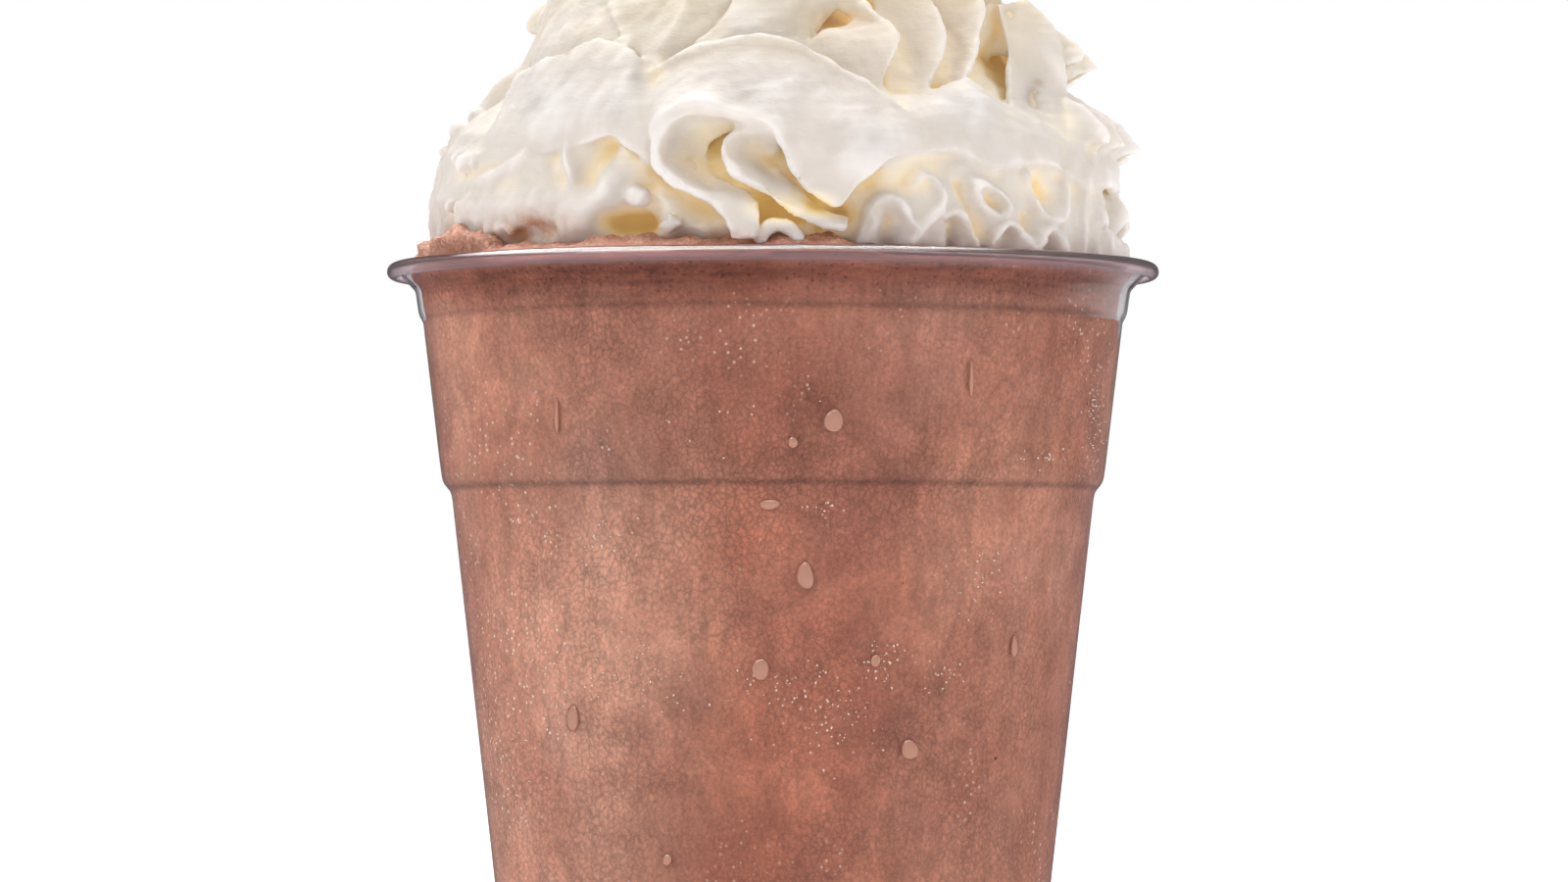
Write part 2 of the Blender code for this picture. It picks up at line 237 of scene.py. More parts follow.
def shifted(line, distance):
    """The line moved sideways by a distance of its own at each point; to the left of its run is positive."""
    along = np.gradient(line, axis=0)
    along /= np.linalg.norm(along, axis=1)[:, None]
    return line + np.stack([-along[:, 1], along[:, 0]], axis=1) * distance[:, None]


def outer_radius(height):
    """The cup's outer radius at heights up to the neck."""
    heights = [z for _, z in WALL_LINE][::-1]
    radii = [r for r, _ in WALL_LINE][::-1]
    return np.interp(height, heights, radii)


# Materials


def new_material(name):
    made = bpy.data.materials.new(name)
    made.use_nodes = True
    made.node_tree.nodes.clear()
    output = made.node_tree.nodes.new("ShaderNodeOutputMaterial")
    shader = made.node_tree.nodes.new("ShaderNodeBsdfPrincipled")
    made.node_tree.links.new(shader.outputs["BSDF"], output.inputs["Surface"])
    return made, made.node_tree, shader, output


def plug(tree, socket, value):
    """Gives a socket a number, a vector, a colour or another node's output."""
    if isinstance(value, bpy.types.NodeSocket):
        tree.links.new(value, socket)
    elif socket.type == "RGBA":
        socket.default_value = (*value[:3], 1.0)
    else:
        socket.default_value = value


def add(tree, kind, values=None, **settings):
    """A node with its settings and what its inputs take."""
    made = tree.nodes.new(kind)
    for key, value in settings.items():
        setattr(made, key, value)
    for key, value in (values or {}).items():
        plug(tree, made.inputs[key], value)
    return made


def finish(tree, shader, values):
    """Sets the inputs of a material's own shader."""
    for key, value in values.items():
        plug(tree, shader.inputs[key], value)


def place(tree, scale=(1.0, 1.0, 1.0)):
    """Object coordinates in metres, or scaled along each axis, in cells per metre."""
    source = tree.nodes.new("ShaderNodeTexCoord")
    return add(tree, "ShaderNodeMapping", {"Vector": source.outputs["Object"], "Scale": scale}).outputs[0]


def along(tree, axis):
    """Where a point is along one axis, in metres."""
    return add(tree, "ShaderNodeSeparateXYZ", {"Vector": place(tree)}).outputs[axis]


def attribute(tree, name):
    return add(tree, "ShaderNodeAttribute", attribute_name=name).outputs["Fac"]


def noise(tree, scale, detail=3.0, roughness=0.5, distortion=0.0):
    vector = place(tree, scale if isinstance(scale, tuple) else (scale,) * 3)
    values = {"Vector": vector, "Scale": 1.0, "Detail": detail}
    values.update({"Roughness": roughness, "Distortion": distortion})
    return add(tree, "ShaderNodeTexNoise", values).outputs["Fac"]


def ramp(tree, factor, stops):
    """A colour ramp; a stop is (place, value) or (place, (r, g, b))."""
    made = add(tree, "ShaderNodeValToRGB", {"Fac": factor})
    elements = made.color_ramp.elements
    while len(elements) < len(stops):
        elements.new(0.5)
    for element, (where, colour) in zip(elements, stops):
        element.position = where
        if isinstance(colour, (int, float)):
            colour = (colour, colour, colour)
        element.color = (*colour, 1.0)
    return made.outputs["Color"]


def mixed(tree, factor, a, b, blend="MIX"):
    made = add(tree, "ShaderNodeMix", data_type="RGBA", blend_type=blend)
    for index, value in ((0, factor), (6, a), (7, b)):
        plug(tree, made.inputs[index], value)
    return made.outputs[2]


def multiplied(tree, tone, by, share=1.0):
    return mixed(tree, share, tone, by, "MULTIPLY")


def srgb(r, g, b):
    """A linear colour from sRGB values of 0 to 255."""
    return tuple(((c / 255.0 + 0.055) / 1.055) ** 2.4 for c in (r, g, b))


def bump(tree, shader, height, strength, distance):
    made = add(tree, "ShaderNodeBump", {"Height": height, "Strength": strength, "Distance": distance})
    tree.links.new(made.outputs["Normal"], shader.inputs["Normal"])


def scaled(tree, value, factor, offset=0.0):
    return add(tree, "ShaderNodeMath", {0: value, 1: factor, 2: offset}, operation="MULTIPLY_ADD").outputs[0]


def product(tree, a, b):
    return add(tree, "ShaderNodeMath", {0: a, 1: b}, operation="MULTIPLY").outputs[0]


def dots(tree, scale, size, share):
    """White dots scattered in cells: their size and how many cells have one, each 0 to 1."""
    cells = add(tree, "ShaderNodeTexVoronoi", {"Vector": place(tree, (scale,) * 3), "Scale": 1.0})
    near = ramp(tree, cells.outputs["Distance"], ((size * 0.6, 1.0), (size, 0.0)))
    pick = add(tree, "ShaderNodeSeparateColor", {"Color": cells.outputs["Color"]}).outputs[0]
    chosen = ramp(tree, pick, ((share, 1.0), (share + 0.01, 0.0)))
    return product(tree, near, chosen)


def either(tree, factor, usual, other, output):
    """The surface of a material: its usual shader, or another one by a factor."""
    both = add(tree, "ShaderNodeMixShader", {"Fac": factor, 1: usual.outputs["BSDF"], 2: other.outputs[0]})
    tree.links.new(both.outputs["Shader"], output.inputs["Surface"])


def clear_for_shadows(tree, shader, output, tint):
    """Lets shadow rays straight through, so that what is behind is lit cleanly."""
    path = tree.nodes.new("ShaderNodeLightPath")
    clear = add(tree, "ShaderNodeBsdfTransparent", {"Color": tint})
    either(tree, path.outputs["Is Shadow Ray"], shader, clear, output)


# The tints that light picks up at each pass through the plastic, and at the thick top of the lip a darker
# painted shade.
WALL_TINT = (0.97, 0.965, 0.965)
LIP_SHADE_TINT = (0.78, 0.67, 0.69)
SHADOW_TINT = (0.96, 0.96, 0.96)


def plastic_material():
    made, tree, shader, output = new_material("clear_plastic")
    lipward = scaled(tree, along(tree, "Z"), 200.0, -23.0)
    smears = ramp(tree, noise(tree, (60.0, 60.0, 26.0), 4.0), ((0.4, 0.0), (0.8, 0.06)))
    # At the lip a darker mauve tint and a milky share paint shade: the dark band that its refractions show.
    values = {
        "Base Color": ramp(tree, lipward, ((0.36, WALL_TINT), (0.50, LIP_SHADE_TINT))),
        "Transmission Weight": ramp(tree, lipward, ((0.36, 1.0), (0.50, 0.94))),
        "IOR": 1.5,
        "Roughness": smears,
    }
    finish(tree, shader, values)
    bump(tree, shader, noise(tree, (90.0, 90.0, 30.0), 2.0), 0.1, 0.0003)
    clear_for_shadows(tree, shader, output, SHADOW_TINT)
    return made


def water_material(name, colour, alpha):
    """Drops of condensation in a pale colour that lets some of what is behind show."""
    made, tree, shader, _ = new_material(name)
    dew = ramp(tree, noise(tree, 700.0, 3.0), ((0.3, 0.93), (0.7, 1.0)))
    finish(tree, shader, {"Base Color": multiplied(tree, colour, dew), "Roughness": 0.22, "Alpha": alpha})
    return made


# The big drops' colour is painted light: the shake lightened as through a lens.
DROP_LIGHT_COLOUR = srgb(214, 160, 138)
DEW_COLOUR = srgb(250, 226, 208)

SHAKE_STOPS = ((0.24, srgb(180, 109, 87)), (0.50, srgb(208, 142, 118)), (0.80, srgb(240, 178, 151)))
FOAM_STOPS = ((0.3, srgb(166, 98, 72)), (0.7, srgb(226, 172, 144)))
RUDDY = srgb(190, 112, 86)
MAUVE = srgb(194, 139, 124)
SPARKLE = srgb(250, 222, 204)
SPECK = srgb(84, 42, 32)
RED_SPECK = srgb(118, 62, 50)

# Painted light and shade across the cup, paler at the sides: 0.5 is its middle, and 0 and 1 are 41.7 mm to
# the left and to the right of it.
SIDE_LIGHT_STOPS = (
    (0.10, (1.05, 1.17, 1.20)),
    (0.26, (1.00, 1.13, 1.17)),
    (0.45, (0.93, 0.92, 0.89)),
    (0.62, (0.92, 0.93, 0.93)),
    (0.85, (1.02, 1.12, 1.14)),
)
# Painted light and shade low on the drink, paler at the sides and darker in the middle: (stops across, stops
# up, colour).
LOW_SIDE_LIGHT = (
    (((0.2, 0.42), (0.44, 0.0), (0.70, 0.0), (0.84, 0.12)), ((0.84, 1.0), (0.96, 0.0)), (1.42, 1.72, 1.85)),
    (((0.38, 0.0), (0.48, 1.0), (0.60, 1.0), (0.74, 0.0)), ((0.84, 1.0), (0.98, 0.0)), (0.96, 0.85, 0.81)),
)
# Painted shade under the rim.
RIM_PAINTED_SHADE = (0.57, 0.40, 0.345)
# Shade by height above 75 mm over 50 mm: thin dark lines under the step and the bead.
RING_SHADE = (
    (0.307, 1.0),
    (0.319, 0.58),
    (0.330, 0.88),
    (0.345, 0.93),
    (0.385, 1.0),
    (0.733, 1.0),
    (0.746, 0.74),
    (0.757, 1.0),
)


def shake_swirls(tree):
    """The drink's broad shades with their swirls and upright streaks."""
    tone = ramp(tree, noise(tree, (34.0, 34.0, 26.0), 4.0, 0.62), SHAKE_STOPS)
    ruddy = ramp(tree, noise(tree, (70.0, 70.0, 50.0), 3.0), ((0.56, 0.0), (0.74, 0.30)))
    tone = mixed(tree, ruddy, tone, RUDDY)
    mauve = ramp(tree, noise(tree, (46.0, 46.0, 34.0), 2.0), ((0.30, 0.4), (0.44, 0.0)))
    tone = mixed(tree, mauve, tone, MAUVE)
    swirls = noise(tree, (150.0, 150.0, 110.0), 5.0, 0.6, 1.6)
    tone = multiplied(tree, tone, ramp(tree, swirls, ((0.34, 0.82), (0.66, 1.14))))
    streaks = ramp(tree, noise(tree, (900.0, 900.0, 80.0), 4.0, 0.65), ((0.3, 0.84), (0.7, 1.16)))
    return multiplied(tree, tone, streaks, 0.5)


def bubble_edges(tree):
    """The distance to the edges of small bubbles whose cells are bent out of line."""
    grid = place(tree, (1250.0, 1250.0, 1050.0))
    bend = add(tree, "ShaderNodeTexNoise", {"Vector": grid, "Scale": 0.35, "Detail": 3.0}).outputs["Color"]
    bent = add(tree, "ShaderNodeVectorMath", {0: bend, 1: (2.6, 2.6, 2.6), 2: grid}, operation="MULTIPLY_ADD")
    values = {"Vector": bent.outputs["Vector"], "Scale": 1.0, "Randomness": 1.0}
    return add(tree, "ShaderNodeTexVoronoi", values, feature="DISTANCE_TO_EDGE").outputs["Distance"]


def with_bubbles(tree, tone, edges):
    """The tone with fine bubbles, grain, pale sparkles and a few dark specks."""
    crack = ramp(tree, edges, ((0.0, 0.66), (0.10, 0.94), (0.25, 1.06)))
    patches = ramp(tree, noise(tree, (60.0, 60.0, 46.0), 3.0, 0.6), ((0.36, 0.25), (0.66, 1.0)))
    tone = multiplied(tree, tone, crack, patches)
    grain = ramp(tree, noise(tree, 1900.0, 4.0, 0.75), ((0.32, 0.72), (0.68, 1.28)))
    tone = multiplied(tree, tone, grain, 0.8)
    clusters = ramp(tree, noise(tree, (48.0, 48.0, 40.0), 3.0, 0.6), ((0.50, 0.0), (0.60, 1.0)))
    sparkles = product(tree, dots(tree, 1250.0, 0.29, 0.42), clusters)
    tone = mixed(tree, scaled(tree, sparkles, 0.95), tone, SPARKLE)
    return mixed(tree, scaled(tree, dots(tree, 260.0, 0.085, 0.07), 0.95), tone, SPECK)


def shaded_by_place(tree, tone):
    """The tone with painted light and shade across the cup and with height."""
    height = along(tree, "Z")
    across = scaled(tree, along(tree, "X"), 12.0, 0.5)
    # Painted light at the sides and painted shade in the middle.
    tone = multiplied(tree, tone, ramp(tree, across, SIDE_LIGHT_STOPS))
    # Painted light low at the sides, painted shade low in the middle.
    for stops_across, stops_up, colour in LOW_SIDE_LIGHT:
        low = ramp(tree, scaled(tree, height, 10.0), stops_up)
        share = product(tree, ramp(tree, across, stops_across), low)
        tone = multiplied(tree, tone, colour, share)
    tone = multiplied(tree, tone, ramp(tree, scaled(tree, height, 20.0, -1.5), RING_SHADE))
    under_rim = ramp(tree, scaled(tree, height, 100.0, -11.0), ((0.10, 0.0), (0.55, 1.0)))
    return with_rim_band(tree, tone, under_rim)


def with_rim_band(tree, tone, under_rim):
    """The layered band under the rim with its red specks, darkened by painted shade under the lip."""
    layers = ramp(tree, noise(tree, (110.0, 110.0, 1100.0), 3.0, 0.6), ((0.3, 0.72), (0.7, 1.30)))
    tone = multiplied(tree, tone, layers, under_rim)
    dark_dots = product(tree, dots(tree, 1300.0, 0.36, 0.4), under_rim)
    tone = mixed(tree, scaled(tree, dark_dots, 0.6), tone, RED_SPECK)
    # Painted shade under the rim.
    return multiplied(tree, tone, RIM_PAINTED_SHADE, under_rim)


def froth(tree, edges):
    """The foam's tone, with painted shade in the creases between its bubbles."""
    tone = ramp(tree, noise(tree, 700.0, 5.0, 0.7), FOAM_STOPS)
    return multiplied(tree, tone, ramp(tree, edges, ((0.0, 0.5), (0.14, 0.95), (0.3, 1.06))), 0.8)


def shake_material():
    made, tree, shader, _ = new_material("chocolate_shake")
    edges = bubble_edges(tree)
    tone = shaded_by_place(tree, with_bubbles(tree, shake_swirls(tree), edges))
    foamy = attribute(tree, "foam")
    values = {
        "Base Color": mixed(tree, foamy, tone, froth(tree, edges)),
        "Roughness": 0.55,
        "Subsurface Weight": 0.12,
        "Subsurface Radius": (0.0012, 0.0006, 0.0004),
        "Subsurface Scale": 1.0,
    }
    finish(tree, shader, values)
    rough = mixed(tree, foamy, noise(tree, 800.0, 5.0, 0.6), noise(tree, 420.0, 6.0, 0.75))
    bump(tree, shader, rough, scaled(tree, foamy, 0.6, 0.3), scaled(tree, foamy, 0.0010, 0.0002))
    return made


# Painted light and shade by how deep a point lies: a painted highlight on the outer faces, painted shade
# below, golden in the deepest hollows.
CREAM_LIGHT_STOPS = (
    (0.00, (0.850, 0.795, 0.770)),
    (0.10, (0.730, 0.670, 0.632)),
    (0.20, (0.712, 0.655, 0.602)),
    (0.36, (0.800, 0.730, 0.645)),
    (0.56, (0.860, 0.765, 0.610)),
    (0.78, (0.910, 0.730, 0.410)),
    (1.00, (0.790, 0.550, 0.185)),
)
# The warmer tone of the thin petals higher up.
UPPER_TINT = (1.0, 0.95, 0.83)
# Foam that has soaked into the cream.
STAIN = srgb(188, 126, 90)
# Light that the cream's thin walls pass on into its hollows.
GLOW = (1.0, 0.72, 0.36)
GLOW_STOPS = ((0.30, 0.0), (0.56, 0.09), (1.0, 0.07))


def cream_tone(tree, recess):
    """A painted highlight on the outer faces and painted golden shade in the hollows, with blotches, warmer
    petals and stains.
    """
    # Painted light and shade by depth.
    tint = ramp(tree, recess, CREAM_LIGHT_STOPS)
    upper = ramp(tree, scaled(tree, along(tree, "Z"), 20.0, -2.4), ((0.36, 0.0), (0.56, 1.0)))
    warmer = product(tree, upper, ramp(tree, noise(tree, 80.0, 2.0), ((0.35, 0.3), (0.6, 1.0))))
    tint = multiplied(tree, tint, UPPER_TINT, warmer)
    blotches = ramp(tree, noise(tree, 110.0, 3.0), ((0.35, (0.97, 0.955, 0.93)), (0.65, 1.0)))
    tint = multiplied(tree, tint, blotches)
    torn = ramp(tree, noise(tree, 330.0, 4.0, 0.6), ((0.38, 0.25), (0.56, 1.0)))
    return mixed(tree, product(tree, attribute(tree, "stain"), torn), tint, STAIN)


def cream_material():
    made, tree, shader, _ = new_material("whipped_cream")
    recess = attribute(tree, "recess")
    values = {
        "Base Color": cream_tone(tree, recess),
        "Roughness": 0.45,
        "Specular IOR Level": 0.12,
        "Subsurface Weight": 0.5,
        "Subsurface Radius": (0.0034, 0.0030, 0.0024),
        "Subsurface Scale": 1.0,
        "Emission Color": GLOW,
        "Emission Strength": ramp(tree, recess, GLOW_STOPS),
    }
    finish(tree, shader, values)
    soft = noise(tree, (420.0, 420.0, 640.0), 5.0, 0.62)
    wisps = noise(tree, (260.0, 260.0, 800.0), 4.0, 0.6, 2.2)
    bump(tree, shader, mixed(tree, 0.35, soft, wisps), 0.42, 0.0006)
    return made


# The cup


def cup_loop():
    """The shell's closed outline in the profile plane, from the base panel's underside round to its top."""
    centre = (LIP_RADIUS - CURL_RADIUS, CUP_HEIGHT - LIP_DROP - CURL_RADIUS)
    angles = np.radians(np.linspace(CURL_END_DEG, 180.0, 40))
    middle_radius = CURL_RADIUS - WALL / 2
    curl = [[c + middle_radius * turn(t) for c, turn in zip(centre, (math.cos, math.sin))] for t in angles]
    wall = [(r - WALL / 2, z) for r, z in WALL_LINE]
    line = thinned(softened(curl + wall + FOOT_MIDDLE, 0.15, 1.0), 4.0, 6.0)
    line[-1, 0] = 0.0
    half = np.interp(run_along(line), CURL_THIN_RUNS, (CURL_EDGE_WALL / 2, CURL_EDGE_WALL, WALL / 2))
    outside = shifted(line, half)
    inside = shifted(line, -half)
    for side in (outside, inside):
        side[-1, 0] = 0.0
    return np.vstack([outside[::-1], inside])


def build_cup():
    cup = turned("cup_shell", cup_loop(), CUP_SEGMENTS)
    cup.data.materials.append(plastic_material())
    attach(cup, "root")
    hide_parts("cup")


# The milkshake


def foam_share(azimuth):
    """How much foam stands on the drink round the mouth: most at the left front."""
    degrees = in_degrees(azimuth)
    left = between(degrees, *FOAM_LEFT) * (0.5 + 0.5 * ease((degrees + 86.0) / 16.0))
    return np.maximum(left, 0.48 * between(degrees, *FOAM_FRONT))


def air_gap(azimuth, height):
    """How open the gap between drink and wall is: deep at the upper right, shallow at the upper left.

    The shallow part also runs over the whole right half, because its first bound is counted leftward.
    """
    degrees = in_degrees(azimuth)
    deep = between(degrees, *GAP_SIDE) * between(height, *GAP_HEIGHTS)
    side = ease((-degrees % 360.0 - 74.0) / 9.0) * ease((degrees + 116.0) / 20.0)
    return np.maximum(deep, SHALLOW_SHARE * side * between(height, *SHALLOW_HEIGHTS))


def shake_moved(azimuth, radius, height):
    """The drink's turned surface with its bank of foam, lumps and air gap."""
    share = foam_share(azimuth)
    on_top = (height > DRINK_LEVEL - 0.7) * ease((radius - 37.0) / 3.5)
    lumps = 1.0 + sum(tall * np.sin(azimuth * waves + radius * slant) for waves, tall, slant in FOAM_RIPPLES)
    rounded = np.sqrt(np.clip(1.0 - ((radius - 41.9) / 4.2) ** 2, 0.0, 1.0))
    height = height + on_top * share * lumps * rounded * FOAM_HEIGHT
    outer = ease((height - 119.4) / 1.6) * ease((radius - 42.5) / 2.5)
    radius = radius + outer * share * lumps * FOAM_SPREAD
    return radius - AIR_GAP * air_gap(azimuth, height) * (radius > 40.0), height


def build_shake():
    wall = [(r - BITE, z) for r, z in WALL_LINE[:-1]]
    top = [(0.0, DRINK_LEVEL)] + [(r, DRINK_LEVEL) for r in DRINK_TOP]
    shoulder = [(r, DRINK_LEVEL - depth) for r, depth in DRINK_SHOULDER]
    line = softened(top + shoulder + wall + DRINK_FOOT, 0.5, 0.9)
    line[0, 0] = line[-1, 0] = 0.0
    shake = turned("shake_fill", line, DRINK_SEGMENTS, shake_moved)
    heights = np.array([v.co.z for v in shake.data.vertices]) / MM
    foam = shake.data.attributes.new("foam", "FLOAT", "POINT")
    foam.data.foreach_set("value", ease((heights - 118.9) / 0.9).astype(np.float32))
    shake.data.materials.append(shake_material())
    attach(shake, "root")
    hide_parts("milkshake")


# Condensation on the outside of the wall

# Single drops: (across, height, width, length, how much narrower each is at its top).
DROPS = (
    (7.3, 98.2, 2.4, 3, 0.1),
    (3.9, 79.7, 2.6, 3.3, 0.35),
    (-1.5, 68.4, 2.5, 2.6, 0.2),
    (16.6, 58.6, 2.4, 2.4, 0.1),
    (-24.4, 62.4, 2, 3.4, 0.5),
    (-0.4, 88.2, 2.6, 1.3, 0),
    (-12.8, 45.3, 1.3, 1.5, 0.2),
    (2.4, 95.6, 1.3, 1.5, 0.2),
    (12.4, 69.4, 1.4, 1.6, 0.2),
    (29.6, 71, 1.2, 2.6, 0.3),
    (-26.2, 99, 0.8, 4.2, 0.4),
    (24, 103.4, 0.7, 4.4, 0.2),
)
# Patches of tiny drops: (across, height, spread across, spread up, how many).
DEW = (
    (-17.6, 67.6, 7, 5, 90),
    (7.2, 61.8, 6, 4.5, 70),
    (1.6, 66.4, 8, 3, 60),
    (12.6, 69, 3, 3, 40),
    (25, 79, 5, 6, 50),
    (20.6, 68, 3, 3, 30),
    (-22, 84, 6, 4, 40),
    (40, 99, 1.6, 7, 80),
    (34, 94, 4, 2, 30),
    (6, 87.8, 3, 1.4, 18),
    (-3, 98, 12, 6, 9),
    (-30, 56, 4, 8, 30),
)
DROP_BULGE = 0.5
# A drop's edge and its hidden underside are sunk into the wall, its mesh is (steps round, rings).
DROP_SUNK = 0.06
DROP_ROOT = 0.12
DROP_GRID = (28, 7)
DEW_GRID = (8, 2)
DEW_SIZE = (0.12, 0.34)
DEW_SEED = 5


def dome(across, height, width, length, narrowing, bulge, steps, rings):
    """Points and faces of a flattened drop that clings to the outside of the wall."""
    share = np.linspace(0.0, 1.0, rings + 1)[1:]
    angle = np.linspace(0.0, 2.0 * math.pi, steps, endpoint=False)
    share, angle = np.meshgrid(share, angle)
    wobble = 1.0 + 0.06 * np.sin(2.0 * angle + across) + 0.04 * np.sin(3.0 * angle + height)
    up = share * wobble * np.sin(angle) * length / 2
    narrower = 1.0 - narrowing * (share * np.sin(angle) * 0.5 + 0.5)
    side = share * wobble * np.cos(angle) * width / 2 * narrower
    out = bulge * np.sqrt(np.clip(1.0 - share**2, 0.0, 1.0)) - DROP_SUNK
    x = np.append((across + side).ravel(), across)
    z = np.append((height + up).ravel(), height)
    radius = outer_radius(z) + np.append(out.ravel(), bulge - DROP_SUNK)
    x = np.append(x, across)
    z = np.append(z, height)
    radius = np.append(radius, outer_radius(height) - DROP_ROOT)
    points = stood_off(np.stack([x, z, radius], axis=-1))
    faces = grid_faces(steps, rings, closed_steps=True).tolist()
    tip, under = steps * rings, steps * rings + 1
    for k in range(steps):
        ahead = (k + 1) % steps
        faces.append([tip, ahead * rings, k * rings])
        faces.append([under, k * rings + rings - 1, ahead * rings + rings - 1])
    return points, faces


def joined_domes(name, domes, material):
    points, faces, start = [], [], 0
    for some, their in domes:
        points.append(some)
        faces += [[k + start for k in face] for face in their]
        start += len(some)
    drops = outward(mesh_piece(name, np.vstack(points), faces))
    drops.data.materials.append(material)
    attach(drops, "root")


def build_condensation():
    rng = np.random.default_rng(DEW_SEED)
    big = [dome(*drop, DROP_BULGE, *DROP_GRID) for drop in DROPS]
    joined_domes("drops", big, water_material("drop_water", DROP_LIGHT_COLOUR, 0.62))
    tiny = []
    for across, height, wide, tall, count in DEW:
        for _ in range(count):
            z = height + rng.normal(0.0, tall / 2)
            reach = outer_radius(z) - 0.3
            x = float(np.clip(across + rng.normal(0.0, wide / 2), -reach, reach))
            size = rng.uniform(*DEW_SIZE)
            tiny.append(dome(x, z, size, size * rng.uniform(0.8, 1.3), 0.0, size * 0.4, *DEW_GRID))
    joined_domes("dew", tiny, water_material("dew_water", DEW_COLOUR, 0.85))


# The whipped cream

# The body under the folds: (radius, height).
BODY = (
    (0, 175.6),
    (1.4, 173.8),
    (4.4, 170.4),
    (10, 165.2),
    (15.5, 159.4),
    (21, 153),
    (26, 146.6),
    (30.5, 140),
    (35.5, 133.5),
    (38.8, 127),
    (40, 121.5),
    (39.6, 118.95),
    (0, 118.95),
)

# The frill's free edge by turn: (turn, radius, height).
EDGE_PATH = (
    (0, 43.3, 122),
    (0.42, 43.4, 122),
    (0.5, 43.2, 123.4),
    (0.75, 43.2, 125.9),
    (1, 44, 129),
    (1.25, 43.8, 132),
    (1.5, 43, 134.5),
    (1.75, 40.2, 137.4),
    (2.25, 38, 142.6),
    (2.75, 32, 148.4),
    (3.5, 24.5, 157),
    (4, 18.5, 162.2),
    (4.5, 12, 167),
    (5, 5.6, 171),
)

# The frill's waves by turn: (turn, wavelength, depth, lift of the crests).
WAVES = (
    (0, 8.8, 2, 1.6),
    (0.42, 8.6, 1.8, 1.6),
    (0.55, 15, 0.9, 0.6),
    (0.85, 13, 1.2, 0.6),
    (1.1, 10, 2.4, 0.8),
    (1.4, 11, 2.2, 0.8),
    (1.47, 20, 0.5, 0.2),
    (1.62, 20, 0.6, 0.2),
    (1.75, 12, 1.8, 0.8),
    (2.2, 10, 2.6, 1),
    (3.2, 9.2, 2.6, 1),
    (4.2, 8, 1.9, 0.6),
    (5, 6, 0.8, 0.2),
)
# The folds that hang at the front, each a sheet given by ribs of (across, height, radius) points.
DRAPE = (
    ((-15.8, 139.2, 38.6), (-15.6, 137.8, 38.6), (-14.8, 135, 42), (-14.2, 131.7, 44.2)),
    ((-14.6, 140.9, 38.4), (-14.4, 139.4, 38.2), (-13.7, 137, 41.6), (-13.2, 134.2, 45)),
    ((-10.5, 143.2, 38.2), (-10.4, 141.6, 38), (-10, 138.8, 41.4), (-9.4, 135.7, 45.4)),
    ((-5.5, 144.6, 38), (-5.5, 142.9, 37.8), (-5.4, 139.2, 41.4), (-5.2, 134.7, 45.6)),
    ((-1, 145, 38), (-1, 143.2, 37.8), (-0.8, 138.6, 41.6), (-0.4, 133.1, 45.8)),
    ((3, 144.1, 38), (2.9, 142.5, 37.9), (2.2, 137.2, 42), (1.2, 130, 46)),
    ((6, 142.4, 38.2), (5.8, 141, 38.2), (4.4, 135, 42.8), (2.8, 126.6, 46)),
    ((8.5, 140.7, 38.6), (8.2, 139.4, 38.8), (6.9, 133.2, 43.8), (5, 125, 45.8)),
    ((11, 139.2, 39), (10.7, 138, 39.4), (9.8, 132.6, 44.6), (8.1, 123.8, 45.4)),
    ((13.4, 137.5, 39.8), (13.1, 136.4, 40.4), (12.5, 132.6, 44.6), (11.3, 127.5, 45.2)),
    ((15.8, 135.9, 40.6), (15.5, 135, 41.2), (15.2, 132.6, 43.8), (14.7, 129.8, 44.2)),
    ((19.2, 133.8, 41), (19, 133, 41.4), (18.8, 132, 42.2), (18.6, 130.6, 42.6)),
)
BAND = (
    ((9, 139, 36), (8.8, 134.5, 40), (8.5, 126.8, 42.6)),
    ((12.4, 138.2, 36.4), (12, 134.5, 40.6), (11.2, 127.8, 43.4)),
    ((16.4, 137.6, 36.6), (15.8, 134.6, 41), (14.8, 129.4, 43.4)),
    ((19.6, 138.7, 36.4), (19.2, 135.2, 40.8), (18.6, 130.4, 43.2)),
    ((23.2, 140.3, 36), (22.8, 135.6, 40.4), (22.4, 130.6, 43)),
    ((25.6, 138.9, 36.8), (26, 134.8, 40.8), (26.4, 129, 43.2)),
    ((28.4, 137.2, 37.4), (29.2, 133.8, 41), (30, 129.6, 43.3)),
    ((32.6, 136.7, 38.8), (33.4, 133.2, 41.8), (34.2, 129.7, 43.5)),
    ((36.4, 136.3, 40), (37.4, 132.4, 42.4), (38.2, 127.5, 43.6)),
    ((39.4, 135.8, 40.7), (40.8, 131.8, 42.9), (41.6, 128, 43.9)),
    ((40.6, 135.5, 41), (42.6, 131.4, 43.2), (43.4, 127.6, 44)),
)
OUTER_FOLD = (
    ((-0.6, 133.2, 45), (-0.8, 133, 43), (-1, 132.6, 41)),
    ((-5.2, 134.6, 45.4), (-5.2, 134.2, 43.2), (-5, 133.4, 40.8)),
    ((-9.4, 135.5, 45.4), (-8.8, 134.4, 43.2), (-7.2, 132.2, 40.6)),
    ((-12.8, 134, 45.4), (-11, 133, 43), (-7.8, 130.8, 40.2)),
    ((-14.4, 130.8, 45.4), (-12, 130.3, 42.9), (-8, 129.2, 40.2)),
    ((-13.6, 128.1, 45.7), (-11.2, 128.2, 43.2), (-7.4, 127.8, 40.6)),
    ((-11.2, 126.1, 46), (-9, 126.7, 43.9), (-5.6, 126.5, 41.6)),
    ((-8.6, 124.6, 46.2), (-6.6, 125.4, 44.7), (-3.8, 125.4, 42.6)),
    ((-6.4, 123.2, 46.4), (-4.6, 124.1, 45.4), (-2.2, 124.3, 43.8)),
    ((-5.4, 121.4, 46.5), (-3.8, 122.2, 46), (-1.8, 122.9, 45.1)),
    ((-5.2, 119.5, 46.5), (-3.8, 119.7, 46.4), (-2.2, 119.9, 46.1)),
)
